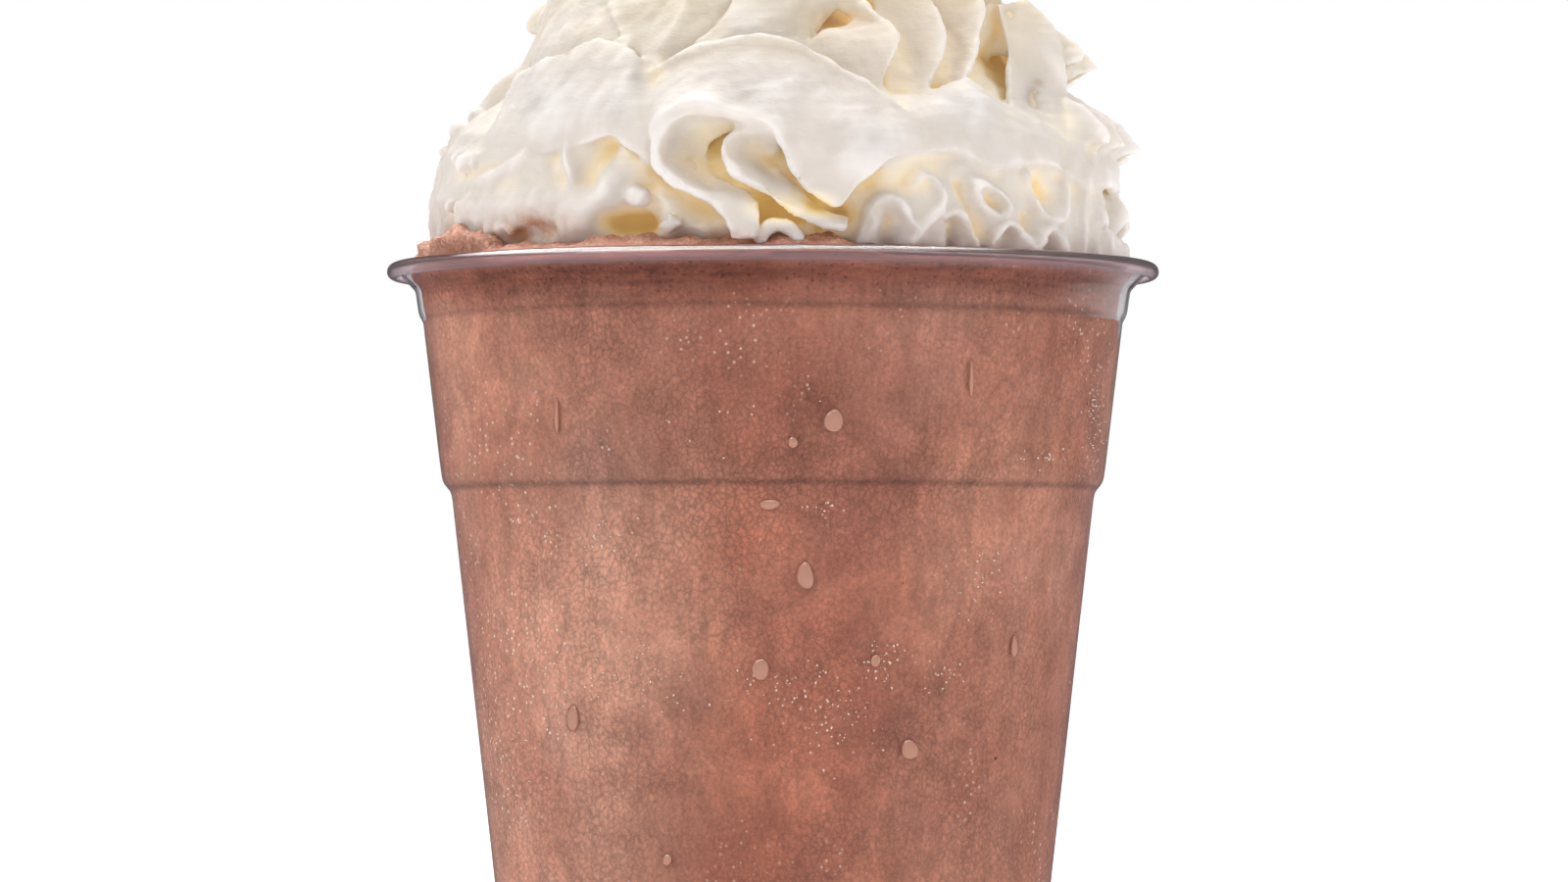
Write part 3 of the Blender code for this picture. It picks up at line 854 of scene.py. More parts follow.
INNER_FOLD = (
    ((0.8, 132, 44.6), (0.6, 131.4, 42), (0.2, 130.6, 39.6)),
    ((-1.6, 133, 44.6), (-1.4, 132, 42.2), (-0.6, 130.6, 39.6)),
    ((-4.4, 133, 44.6), (-3.2, 131.8, 42.4), (-1.2, 130.2, 39.6)),
    ((-6, 131.3, 45), (-4.2, 130.6, 43), (-1.4, 129.6, 39.6)),
    ((-5.8, 129.2, 45.3), (-3.8, 129.1, 43.3), (-0.9, 128.8, 39.8)),
    ((-4.2, 127.2, 45.5), (-2.2, 127.7, 43.7), (0.4, 127.8, 40.4)),
    ((-1.6, 125.8, 45.7), (0, 126.5, 44.1), (2, 126.8, 41.2)),
    ((1, 124, 45.7), (2, 124.6, 44.5), (3.2, 125.2, 42)),
    ((3.6, 122.5, 45.5), (4.2, 123.1, 44.4), (4.8, 123.9, 42.4)),
    ((6.2, 121.5, 45.2), (6.6, 122.1, 44.4), (7, 122.9, 42.6)),
    ((8.8, 120.9, 44.7), (9, 121.6, 44.2), (9.2, 122.4, 43)),
)
# Three petals that overlap like shingles over the drape, their right edges standing out.
PETAL_A = (
    ((4.5, 153, 26.4), (7.4, 152.4, 28.2), (10, 151, 30.6)),
    ((7, 149.8, 28), (9.6, 149.4, 30.4), (12.6, 148, 33)),
    ((9.8, 147.2, 30.6), (12.4, 146.8, 32.8), (15.2, 145.6, 35.4)),
    ((5.4, 145.4, 32.6), (9.8, 144.4, 34.6), (14.4, 142.4, 36.2)),
    ((4.6, 141.4, 34.6), (9, 140.4, 35.6), (13.6, 139.6, 36.6)),
    ((8, 137.6, 35.6), (10.4, 137.2, 36.4), (14.2, 136.8, 37.2)),
)
PETAL_B = (
    ((11, 154.5, 26.4), (14.6, 154.6, 27.6), (17.6, 153.4, 29)),
    ((11.8, 151.2, 27.4), (15.8, 151.2, 29.4), (19.8, 150, 32)),
    ((12.4, 147.8, 29), (16.6, 147.4, 30.6), (21, 146.6, 33.8)),
    ((12.6, 144.4, 31), (16.6, 143.8, 31.8), (20.7, 143.6, 34.8)),
    ((13, 141.2, 33), (16.6, 140.4, 33.6), (19.9, 140.8, 35.6)),
    ((13.6, 138.4, 35), (16.4, 137.6, 35.4), (18.6, 138.6, 36.4)),
)
PETAL_C = (
    ((17.6, 154.6, 26.2), (21.4, 154.6, 28), (24.6, 153.6, 31)),
    ((18.4, 151, 27.4), (22.4, 150.8, 29.6), (26, 150, 33.4)),
    ((18.8, 147.2, 29), (22.6, 146.8, 31), (25.6, 146.4, 34.6)),
    ((18.8, 143.4, 31), (22, 142.8, 32.6), (24.6, 142.4, 35.4)),
    ((18.6, 139.8, 33.6), (21.2, 139, 34.6), (23, 139.2, 36.2)),
)
SLAB = (
    ((27.6, 150.6, 32.6), (31, 151.4, 34), (33, 150.4, 35.4)),
    ((28.6, 146, 34.6), (31.6, 147, 35.6), (35.2, 147.6, 37)),
    ((28.8, 142, 35.8), (32, 142.6, 36.8), (36, 142.6, 38.6)),
    ((28.8, 138.2, 37), (32.4, 138.4, 38.4), (37, 138, 39.8)),
    ((29, 135, 38.6), (33, 135, 40.2), (38.6, 134.6, 41.4)),
)
# The fan of panels at the upper left, from the outside inwards.
FAN_A = (
    ((-27.5, 154, 27.8), (-28.4, 149.5, 30.6), (-29.8, 145.5, 32.2), (-30.6, 141, 34.8)),
    ((-24.5, 156, 26.8), (-25.4, 150.6, 31.6), (-26.6, 146, 34), (-27.4, 141.2, 36.4)),
    ((-21.5, 156.6, 26), (-21.8, 151, 31.6), (-22.4, 146.4, 34.8), (-23, 142, 37)),
    ((-19.6, 156.6, 25), (-19.4, 151, 30.4), (-19.2, 146.4, 34), (-18.6, 142.4, 36.6)),
)
FAN_B = (
    ((-22.5, 156.5, 27), (-20.5, 150.5, 32), (-18.8, 146, 34.8), (-17.2, 143.2, 36.2)),
    ((-19, 156.8, 25.8), (-17.6, 150.8, 31), (-16.9, 146, 34.2), (-16.4, 142.8, 36.2)),
    ((-14.5, 157.2, 25.8), (-14, 151, 30.9), (-14.6, 146, 34.2), (-15.8, 142.6, 36.2)),
    ((-9, 157.4, 27), (-9.9, 151, 32), (-12, 146.4, 35.2), (-15.2, 142.4, 36.8)),
)
FAN_C = (
    ((-9.4, 157.4, 27.4), (-10.2, 151.2, 32.4), (-12.2, 146.4, 35.6), (-15, 142, 37)),
    ((-6.6, 157.2, 26.4), (-7.6, 151, 31.4), (-9.8, 146.4, 34.6), (-13.2, 141.6, 36.8)),
    ((-3.4, 157, 25.4), (-4.6, 151, 30.4), (-7.4, 145.8, 33.8), (-11.6, 141.2, 36.3)),
    ((-1.6, 156.6, 24.6), (-3, 150.8, 29.4), (-5.8, 145.2, 33), (-10, 140.8, 35.8)),
)
FAN_D = (
    ((-2, 157, 26.6), (-4, 150.6, 31.6), (-6.6, 146.4, 34.4), (-9.6, 143.4, 36.6)),
    ((1, 157, 27.4), (-1, 150.8, 32.2), (-3.6, 146.2, 35), (-6.6, 142.6, 36.8)),
    ((4.4, 156.6, 27), (2.2, 150.6, 31.8), (0, 146.6, 34.4), (-2.6, 142, 36.8)),
    ((7.6, 155.6, 25.6), (5.4, 149.8, 30.4), (3.4, 146.2, 32.6), (1.6, 141.4, 36.2)),
    ((9.4, 155, 24.2), (7.8, 149.4, 28.6), (5, 144.6, 31.4), (4.2, 140.6, 35.4)),
)
FLAP = (
    ((-31.9, 140.8, 36.6), (-33, 137.6, 38.6), (-35, 133.4, 41.6), (-35.4, 131, 41.6)),
    ((-28.6, 142.6, 37), (-29.4, 139.2, 39.4), (-31, 133.8, 42), (-31.4, 130.6, 42)),
    ((-25.2, 143.9, 37), (-25.6, 140, 39.6), (-26.6, 135, 42), (-27, 131.2, 42.2)),
    ((-22, 144.8, 37), (-22.2, 140.6, 39.4), (-22.6, 135.4, 41.9), (-22.8, 131.8, 42.5)),
    ((-19.2, 144.2, 37.2), (-19.4, 140.6, 39.4), (-19.6, 135.8, 41.9), (-19.8, 132.6, 42.7)),
    ((-17, 143.2, 37.4), (-17.3, 139.8, 40), (-17.4, 135.6, 42.4), (-17.6, 131.4, 43)),
    ((-15, 141, 37.8), (-15, 138, 39.6), (-15.2, 134.6, 42.6), (-15.4, 130, 43.2)),
)

# All sheets with their thickness and that of their rolled edges.
SHEETS = [(DRAPE, 1.1, 1.25), (BAND, 1.2, 1.1), (OUTER_FOLD, 0.95, 1.15), (INNER_FOLD, 0.95, 1.15)]
SHEETS += [(ribs, 0.95, 0.95) for ribs in (PETAL_A, PETAL_B, PETAL_C, SLAB, FAN_A, FAN_B, FAN_C, FAN_D, FLAP)]

# One fold seen edge-on low in the middle: its (across, height) line, and the radii that it runs between.
EDGE_ON = ((-1.8, 119.6), (-1, 121), (0.6, 121.6), (2.2, 121.1), (3.4, 119.6))
EDGE_ON_FRONT = 45.3
EDGE_ON_BACK = 37.5

# Low relief on the body: half width and height of the ridge, hollows negative, then its line.
RELIEF = (
    (2.9, 1.9, ((-13.4, 130.5), (-17.5, 127.2), (-21, 124.8), (-23.4, 122.2))),
    (0.8, 1.2, ((-20, 134.6), (-23, 134), (-24.8, 131), (-24, 127.4))),
    (0.9, -1, ((-26.6, 134.8), (-27, 131), (-25.6, 127.2))),
    (1.3, -1.9, ((-20, 131.6), (-21.6, 129.6), (-22.6, 127.8))),
    (2.2, 0.8, ((-37, 134.4), (-31.5, 133.9))),
    (1.6, 0.8, ((-39, 132), (-34.3, 131.2), (-30, 130.6), (-26.8, 128.8))),
    (1.1, -0.4, ((-38.4, 129.6), (-33, 129.8))),
    (1.2, 0.8, ((-41, 126.7), (-37, 127.4), (-33.5, 128.1), (-30, 127.9), (-27.4, 126.4))),
    (3.2, 1.5, ((-34, 124.6), (-29, 124.8))),
    (0.7, 0.9, ((-38, 124.2), (-36.6, 127.2))),
    (1, -0.9, ((-40, 124.6), (-39.6, 121))),
    (1, 0.9, ((-28, 135.6), (-24.6, 136.4), (-20.4, 136))),
    (1.5, -3.6, ((-19.6, 122), (-15.6, 122))),
    (2.2, 1.8, ((-12.6, 125), (-11, 122.6), (-7.4, 120.8))),
    (1.2, 1.2, ((-14, 120.4), (-9, 120), (-5.6, 119.8))),
    (1, -1, ((-13.2, 129), (-11.4, 125.6), (-8, 123.4))),
    (0.8, 0.8, ((-37, 122), (-33, 121.2), (-29, 121.6))),
    (0.8, -1.4, ((-31.4, 121), (-26.8, 121.4))),
    (0.46, 1.7, (
        (9.6, 119.4), (10.6, 121.8), (12, 124.3), (13.6, 125.1),
        (15.2, 124.3), (16.4, 122.2), (17.6, 120.6),
    )),
    (0.95, 1.3, ((10.6, 119.4), (12, 122.4))),
    (0.8, -2.2, ((13.8, 119.6), (14, 122.9))),
    (0.46, 1.6, (
        (16.6, 119.8), (18.3, 122), (20, 124.1), (20.2, 126.1),
        (19.1, 127.6), (17.8, 127.9), (16.9, 127.2),
    )),
    (0.46, 1.6, ((20.4, 122.9), (22, 123.4), (23, 122.6), (23.8, 121.1), (24.6, 119.3))),
    (0.7, -2, ((21.8, 119.5), (21.6, 122.3))),
    (0.40, 1.4, ((24, 127.2), (25.6, 126.9), (27.2, 126.1), (28.3, 124.8), (28.1, 123.5), (26.9, 123.3))),
    (0.40, 1.2, ((26.9, 123.3), (25.5, 124.1), (24.6, 125.6), (24, 127.2))),
    (0.7, -1.6, ((26, 125.6), (27, 124.6))),
    (0.45, 1.5, ((26, 119.5), (27, 121.1), (28.2, 122.3), (29.4, 121.7), (30.6, 120.4), (31.3, 119.3))),
    (0.7, -1.5, ((28.4, 119.5), (28.4, 121))),
    (0.40, 1.4, (
        (30.6, 128.6), (31.2, 126.1), (32.5, 124.1), (33.9, 123.1),
        (35.2, 123.4), (35.8, 125.2), (35.6, 127.8),
    )),
    (1.1, -1.7, ((32.4, 127.6), (33.6, 126))),
    (0.45, 1.4, ((31.6, 119.5), (32.7, 121.1), (33.7, 122.1), (34.7, 120.9), (35.6, 119.4))),
    (0.7, -1.3, ((33.7, 119.5), (33.7, 120.8))),
    (0.42, 1.2, ((38, 119.6), (37.9, 124), (38.2, 127.8))),
    (0.42, 1.2, ((40, 119.6), (39.8, 123.6), (40.3, 126.8))),
    (0.40, 1, ((41.7, 120), (41.5, 123.6), (41.9, 126.6))),
    (1.6, -1, ((12, 126.8), (15.4, 126.6))),
    (1.5, -3, ((5.8, 121.2), (8.4, 122.6))),
    (1, -1.6, ((22.6, 127), (24.8, 121.4))),
    (0.8, -1.5, ((25.4, 119.6), (25.6, 121.2))),
    (0.8, -1.8, ((30.9, 121.6), (31, 123.4))),
)

# Soft lumps and smears: (across, height, radius, half thickness) along each.
STROKES = (
    ((-17.2, 125.6, 42.6, 1.2), (-15.2, 124.5, 44.2, 1.3)),
    ((-36.6, 137.4, 37, 1.5), (-37.4, 137, 38.1, 1.3)),
    ((-39, 135.6, 39.6, 1.4), (-39.9, 135, 40.6, 1.2)),
    ((-41, 133, 41.6, 0.8), (-41.9, 132.8, 42.4, 0.7)),
    ((-41.2, 131, 42, 0.8), (-42, 130.7, 42.7, 0.7)),
    ((-39.6, 125.6, 42.8, 1.1), (-39.9, 125.2, 44.3, 1)),
    ((-37, 125.2, 42.8, 1.2), (-37.4, 124.8, 44.3, 1.1)),
    ((-34.9, 124.6, 42.8, 1), (-34.6, 123.8, 44.1, 0.9)),
    ((-32.6, 124.2, 42.6, 1), (-32, 122.8, 43.9, 0.9)),
    ((-29, 131, 42.2, 1.4), (-33, 128.6, 43, 1.2), (-36.6, 127.8, 43.2, 0.9)),
    ((-15.4, 141.4, 36, 1.5), (-14.2, 141.6, 37.4, 1.1)),
    ((-16, 142.6, 35, 1.4), (-13, 143, 36, 1.3)),
    ((-18.4, 144.4, 35.4, 1.3), (-17.4, 143, 36.6, 1.2)),
    ((-14.4, 142, 36.4, 1.2), (-13.2, 140.4, 37.8, 1.2)),
    ((-15, 137.6, 38, 1.6), (-14.8, 133, 41.8, 1.6), (-14.4, 129, 42.6, 1.4)),
    ((24, 145, 30, 2), (26.4, 149, 30, 2.2), (26, 153, 29, 2)),
)

# Small curds where the cream is torn: (across, height, spread across, spread up, how many).
CURDS = (
    (-35.6, 123.4, 3.6, 1.5, 34),
    (-37.6, 130.4, 1.6, 1.2, 10),
    (-32.6, 135.6, 1.4, 1, 8),
    (-30.6, 140.2, 0.8, 1.4, 6),
    (-12.6, 121.6, 1.4, 0.8, 6),
)
CURD_SIZE = (0.45, 0.95)
CURD_SEED = 3

# Spots of deeper, golden painted shade in hollows, and stains on the cream: (across, height, half width, half
# height, amount).
PAINTED_HOLLOWS = (
    (-17.6, 122, 4, 1.9, 0.5),
    (0.6, 123.2, 4.2, 1.9, 0.75),
    (5.2, 123.9, 2.8, 1.7, 0.75),
    (7.6, 147.4, 3, 1.2, 0.2),
    (17.2, 127.6, 2, 1.6, 0.2),
    (24.4, 121, 1.2, 2.2, 0.25),
    (31.8, 127.2, 2, 1.6, 0.25),
    (-8, 132.8, 2.6, 2.4, 0.2),
    (-14.2, 140.4, 1.8, 1.6, 0.3),
)
SOAKED = (
    (-29.6, 121.6, 4.6, 1.9, 1),
    (-40.6, 123, 2.4, 2.4, 0.35),
    (-9, 119.8, 8, 1.2, 0.8),
    (7.6, 147.6, 2.4, 1, 0.6),
)

# The cream's unevenness: wavelength and height of its waves.
UNEVEN = ((9, 0.16), (3.6, 0.08), (1.7, 0.030))
UNEVEN_WAVES = 14
UNEVEN_SEED = 11

# Cells round and up in which the cream's outermost points are looked for.
REACH_GRID = (180, 50)
BODY_SEGMENTS = 720

# How far out the body is filled: (height, radius at the left, at the front, at the right).
FILL = (
    (118.9, 41.6, 40.6, 42.8),
    (121.5, 43.2, 41.6, 43.4),
    (124, 43.4, 41, 43.4),
    (127, 43, 40.4, 43.2),
    (129.5, 42.6, 39.8, 42.8),
    (132, 42, 38.8, 41.4),
    (134.5, 40.6, 37.6, 39.4),
    (137, 37.8, 36, 36.8),
    (140, 33.6, 34, 34),
    (143, 32, 31.6, 31.6),
    (146.6, 30.6, 29, 29),
    (150, 28.4, 26.6, 26.6),
    (153, 26.2, 24, 24),
    (159.4, 15.5, 15.5, 15.5),
)
FILL_TOP = 159.0
# Where each of those radii holds: (from, easing in over, to, easing out over), in degrees.
FILL_SIDES = ((-125, 25, -14, 16), (-30, 16, 75, 20), (8, 12, 88, 20))
# How far the cream's foot spreads at its right, under the hem.
RIGHT_FOOT = 44.9
FOOT_SIDE = (62, 12, 122, 16)

FRILL_TURNS = 5.0
FRILL_START = math.radians(180.0)
FRILL_DROP = 10.5
SAMPLES_PER_TURN = 900
FRILL_ROWS = 16


def body_radius(height):
    radii, heights = zip(*BODY[-3::-1])
    return np.interp(height, heights, radii)


def sheet(grid, thickness, parts):
    """Adds a closed sheet through a grid of points, with its own thickness at each, to the parts."""
    steps, rows, _ = grid.shape
    thickness = np.broadcast_to(thickness, (steps, rows))
    normal = np.cross(np.gradient(grid, axis=0), np.gradient(grid, axis=1))
    normal /= np.maximum(np.linalg.norm(normal, axis=2), 1e-9)[:, :, None]
    half = normal * (thickness[:, :, None] / 2)
    front, back = (grid + half).reshape(-1, 3), (grid - half).reshape(-1, 3)
    count = steps * rows
    faces = [grid_faces(steps, rows), grid_faces(steps, rows, start=count)[:, ::-1]]
    rim = np.concatenate(
        [
            np.arange(rows),
            np.arange(1, steps) * rows + rows - 1,
            (steps - 1) * rows + np.arange(rows - 2, -1, -1),
            np.arange(steps - 2, 0, -1) * rows,
        ]
    )
    ahead = np.roll(rim, -1)
    faces.append(np.stack([rim, ahead, ahead + count, rim + count], axis=1)[:, ::-1])
    parts.append((np.vstack([front, back]), np.vstack(faces)))


def frill_grid():
    """The frill's sheet as a grid along its turns and down its rows; it is sunk in where folds cover it."""
    turn = np.arange(int(FRILL_TURNS * SAMPLES_PER_TURN) + 1) / SAMPLES_PER_TURN
    edge_radius = looked_up(turn, EDGE_PATH, 1)
    edge_height = looked_up(turn, EDGE_PATH, 2)
    step = 2.0 * math.pi * edge_radius * np.gradient(turn)
    uneven = 1.0 + 0.22 * np.sin(turn * 23.0) + 0.12 * np.sin(turn * 51.0 + 1.0)
    phase = 2.0 * math.pi * np.cumsum(step / (looked_up(turn, WAVES, 1) * uneven))
    swell = 1.0 + 0.22 * np.sin(phase * 0.37) + 0.15 * np.sin(phase * 0.83 + 2.0)
    depth = looked_up(turn, WAVES, 2) * swell
    lift = looked_up(turn, WAVES, 3) * swell
    taper = np.clip((FRILL_TURNS - turn) / 1.5, 0.35, 1.0)
    azimuth = FRILL_START - 2.0 * math.pi * turn
    degrees = in_degrees(azimuth)
    back = ease((np.abs(degrees) - 118.0) / 25.0) * np.clip((FRILL_TURNS - turn) / 1.5, 0.0, 1.0)
    wander = 1.1 * np.sin(2.0 * azimuth + 3.1 * turn) + 0.6 * np.sin(5.0 * azimuth - 2.0 * turn)
    edge_height = edge_height + back * wander
    depth = depth * (1.0 + 0.35 * back * np.sin(0.29 * phase + 1.3))
    root_height = edge_height + FRILL_DROP * taper
    root_radius = np.maximum(body_radius(root_height) - 1.5, 0.6)
    hidden = between(degrees, -112.0, 20.0, 66.0, 14.0) * ease((151.0 - edge_height) / 5.0)
    hidden = np.maximum(hidden, 1.0 - ease(turn / 0.08))
    sunk = np.maximum(body_radius(edge_height) - 1.0, 1.0)
    edge_radius = edge_radius + (np.minimum(sunk, edge_radius) - edge_radius) * hidden
    depth = depth * (1.0 - hidden)
    rows = []
    for share in np.linspace(0.0, 1.0, FRILL_ROWS):
        flare = 1.0 - (1.0 - share) ** 1.7
        wave = share**0.8
        radius = root_radius + (edge_radius - root_radius) * flare + depth * wave * np.cos(phase)
        height = root_height + (edge_height - root_height) * share + lift * wave * np.cos(phase)
        slip = 0.55 * depth * wave * np.sin(2.0 * phase) / np.maximum(edge_radius, 4.0)
        slant = (1.0 - share) * 3.2 / np.maximum(edge_radius, 6.0)
        rows.append(polar(azimuth + slip * 0.5 + slant, np.maximum(radius, 0.5), height))
    return np.stack(rows, axis=1), turn


def spread(columns, count):
    """Resamples a stack of curves across, smoothly through the given ones."""
    knots = np.array(columns, float)
    padded = np.concatenate([2 * knots[:1] - knots[1:2], knots, 2 * knots[-1:] - knots[-2:-1]])
    places = np.linspace(0.0, len(knots) - 1, count)
    index = np.minimum(places.astype(int), len(knots) - 2)
    t = (places - index).reshape(-1, *([1] * (knots.ndim - 1)))
    return spline(*(padded[index + k] for k in range(4)), t)


def stood_off(points):
    """World points in mm from (across, height, radius) ones on the front side."""
    across, height, radius = np.moveaxis(points, -1, 0)
    return np.stack([across, -np.sqrt(np.maximum(radius**2 - across**2, 0.25)), height], axis=-1)


def rib_sheet(ribs, thickness, edge, parts):
    """A sheet through ribs, with a slightly thicker rolled edge along its first and last points."""
    knots = np.array(ribs, float)
    fine = spread(knots, 14 * len(knots))
    fine = np.swapaxes(spread(np.swapaxes(fine, 0, 1), 40), 0, 1)
    share = np.linspace(0.0, 1.0, fine.shape[1])
    roll = np.exp(-((share - 0.02) / 0.05) ** 2) + np.exp(-((share - 0.98) / 0.05) ** 2)
    sheet(stood_off(fine), thickness + (edge - thickness) * roll[None, :], parts)


def edge_on_fold(line, front, back, thickness, parts):
    """A fold that runs inwards from its front edge, narrowing a little on the way."""
    run = smooth_run(line, 16 * len(line))
    middle = run.mean(axis=0)
    rows = []
    for share in np.linspace(0.0, 1.0, 14):
        radius = front + (back - front) * share
        scale = 1.0 - 0.25 * share
        across = (middle[0] + (run[:, 0] - middle[0]) * scale) * (radius / front)
        height = 119.0 + (run[:, 1] - 119.0) * (1.0 - 0.12 * share)
        rows.append(stood_off(np.stack([across, height, np.full(len(run), radius)], axis=-1)))
    sheet(np.stack(rows, axis=1), thickness, parts)


def stroke(knots, parts):
    """A smear: a round bar with its own half thickness along a line, rounded at its ends."""
    run = smooth_run(knots, 10 * len(knots))
    centre = stood_off(run[:, :3])
    along = np.gradient(centre, axis=0)
    along /= np.linalg.norm(along, axis=1)[:, None]
    outwards = centre * [1.0, 1.0, 0.0]
    side = np.cross(along, outwards)
    side /= np.linalg.norm(side, axis=1)[:, None]
    up = np.cross(side, along)
    share = np.linspace(0.0, 1.0, len(run))
    ends = np.sqrt(np.clip(1.0 - np.abs(2.0 * share - 1.0) ** 6, 0.02, 1.0))
    girth = (run[:, 3] * ends)[:, None, None]
    angles = np.linspace(0.0, 2.0 * math.pi, 16, endpoint=False)[None, :, None]
    ring = centre[:, None] + girth * (side[:, None] * np.cos(angles) + up[:, None] * np.sin(angles))
    rows, count = ring.shape[1], ring.shape[0] * ring.shape[1]
    faces = grid_faces(ring.shape[0], rows, closed_rows=True).tolist()
    points = np.vstack([ring.reshape(-1, 3), centre[:1], centre[-1:]])
    for k in range(rows):
        faces.append((count, (k + 1) % rows, k, count))
        faces.append((count + 1, count - rows + k, count - rows + (k + 1) % rows, count + 1))
    parts.append((points, np.array(faces)))


def relief(azimuth, radius, height):
    """How far the ridges stand out of the body and the hollows go in, at its front half."""
    azimuth, radius, height = np.broadcast_arrays(azimuth, radius, height)
    across = radius * np.sin(azimuth)
    near = (np.cos(azimuth) > 0.0) & (height < 139.0) & (height > 119.0) & (radius > 30.0)
    x, z = across[near], height[near]
    ridges, hollows = np.zeros(len(x)), np.zeros(len(x))
    for half_width, tall, line in RELIEF:
        run = smooth_run(line, 12 * len(line))
        reach = 3.0 * half_width
        box = (x > run[:, 0].min() - reach) & (x < run[:, 0].max() + reach)
        box &= (z > run[:, 1].min() - reach) & (z < run[:, 1].max() + reach)
        apart = np.hypot(x[box, None] - run[None, :, 0], z[box, None] - run[None, :, 1]).min(axis=1)
        there = tall * np.exp(-((apart / half_width) ** (1.3 if tall > 0.0 else 2.0)))
        ridges[box] = np.maximum(ridges[box], there)
        hollows[box] = np.minimum(hollows[box], there)
    moved = np.zeros(radius.shape)
    moved[near] = ridges + hollows
    return moved


def body_moved(azimuth, radius, height):
    """The turned body with its fuller left and front."""
    degrees = in_degrees(azimuth)
    skin = (height < FILL_TOP) & (height > 119.2) & (radius > 15.0)
    raised = radius
    for column, side in enumerate(FILL_SIDES, start=1):
        fill = looked_up(height, FILL, column)
        raised = raised + between(degrees, *side) * np.maximum(fill - raised, 0.0)
    foot = between(degrees, *FOOT_SIDE) * ease((123.2 - height) / 2.2)
    raised = raised + foot * np.maximum(RIGHT_FOOT - raised, 0.0)
    raised = raised + relief(azimuth, raised, height)
    return np.where(skin, raised, radius), height


def build_parts():
    """The cream's closed parts, before they are melted into one skin."""
    parts = []
    grid, turn = frill_grid()
    share = np.linspace(0.0, 1.0, FRILL_ROWS)
    thickness = np.broadcast_to(3.0 - 1.8 * share**0.8, (len(turn), FRILL_ROWS))
    sheet(grid, thickness, parts)
    for ribs, wall, edge in SHEETS:
        rib_sheet(ribs, wall, edge, parts)
    edge_on_fold(EDGE_ON, EDGE_ON_FRONT, EDGE_ON_BACK, 1.05, parts)
    for knots in STROKES:
        stroke(knots, parts)
    rng = np.random.default_rng(CURD_SEED)
    for across, height, wide, tall, count in CURDS:
        for _ in range(count):
            x, z = across + rng.normal(0.0, wide / 2), height + rng.normal(0.0, tall / 2)
            size, out = rng.uniform(*CURD_SIZE), looked_up(z, FILL, 1)
            x = float(np.clip(x, 0.2 - out, 0.0))
            slant = rng.uniform(-0.6, 0.6)
            stroke(((x, z, out + 0.4, size), (x + size * slant, z + size, out + 1.1, size * 0.8)), parts)
    return parts


def melted(name, parts, body):
    """One skin round the body and all the parts, by a voxel remesh that is then smoothed."""
    points, faces, start = [], [], 0
    for part_points, part_faces in parts:
        points.append(part_points)
        faces += (part_faces + start).tolist()
        start += len(part_points)
    made = mesh_piece(name, np.vstack(points), faces)
    bpy.ops.object.select_all(action="DESELECT")
    body.select_set(True)
    made.select_set(True)
    bpy.context.view_layer.objects.active = made
    bpy.ops.object.join()
    remesh = made.modifiers.new("Melt", "REMESH")
    remesh.mode = "VOXEL"
    remesh.voxel_size = VOXEL * MM
    remesh.use_smooth_shade = True
    settle = made.modifiers.new("Settle", "SMOOTH")
    settle.factor = 0.5
    settle.iterations = 2
    graph = bpy.context.evaluated_depsgraph_get()
    mesh = bpy.data.meshes.new_from_object(made.evaluated_get(graph))
    made.modifiers.clear()
    made.data = mesh
    return made


def blurred(grid, passes):
    """A 3-D grid softened by repeated running means along its first three axes."""
    for axis in range(3):
        for _ in range(passes):
            grid = (np.roll(grid, 1, axis) + 2.0 * grid + np.roll(grid, -1, axis)) / 4.0
    return grid


def hollowness(points, normals, cell, passes):
    """How far the surface around each point stands in front of it, in mm."""
    low = points.min(axis=0) - 8.0 * cell
    shape = tuple(np.ceil((points.max(axis=0) + 8.0 * cell - low) / cell).astype(int))
    where = (points - low) / cell - 0.5
    index = np.floor(where).astype(int)
    flat = np.ravel_multi_index(tuple(np.round(where).astype(int).T), shape)
    cells = shape[0] * shape[1] * shape[2]
    stacks = [np.bincount(flat, minlength=cells).reshape(shape).astype(float)]
    stacks += [np.bincount(flat, weights=points[:, k], minlength=cells).reshape(shape) for k in range(3)]
    stacks = [blurred(stack, passes) for stack in stacks]
    part = where - index
    found = np.zeros((4, len(points)))
    for corner in range(8):
        step = np.array([corner & 1, corner >> 1 & 1, corner >> 2 & 1])
        weight = np.prod(np.where(step, part, 1.0 - part), axis=1)
        at = tuple((index + step).T)
        found += np.stack([stack[at] for stack in stacks]) * weight
    mean = (found[1:] / np.maximum(found[0], 1e-9)).T
    return np.einsum("ij,ij->i", normals, mean - points)


def points_and_normals(made):
    """A mesh's points in metres and their normals."""
    found = []
    for name in ("co", "normal"):
        values = np.zeros(len(made.data.vertices) * 3)
        made.data.vertices.foreach_get(name, values)
        found.append(values.reshape(-1, 3))
    return found


def unevened(made):
    """Moves the points in and out by a random field of long and short waves."""
    points, normals = points_and_normals(made)
    rng = np.random.default_rng(UNEVEN_SEED)
    field = np.zeros(len(points))
    for wavelength, tall in UNEVEN:
        for _ in range(UNEVEN_WAVES):
            way = rng.normal(size=3)
            way *= 2.0 * math.pi / (wavelength * MM * rng.uniform(0.7, 1.4)) / np.linalg.norm(way)
            field += tall * np.sin(points @ way + rng.uniform(0.0, 2.0 * math.pi))
    points += normals * (field * MM / math.sqrt(UNEVEN_WAVES / 2))[:, None]
    made.data.vertices.foreach_set("co", points.ravel())
    made.data.update()


def marked(points, spots):
    """How strongly each point lies in one of the spots on the front side."""
    found = np.zeros(len(points))
    for across, height, half_wide, half_tall, amount in spots:
        apart = ((points[:, 0] - across) / half_wide) ** 2 + ((points[:, 2] - height) / half_tall) ** 2
        found = np.maximum(found, amount * np.exp(-apart) * (points[:, 1] < 0.0))
    return found


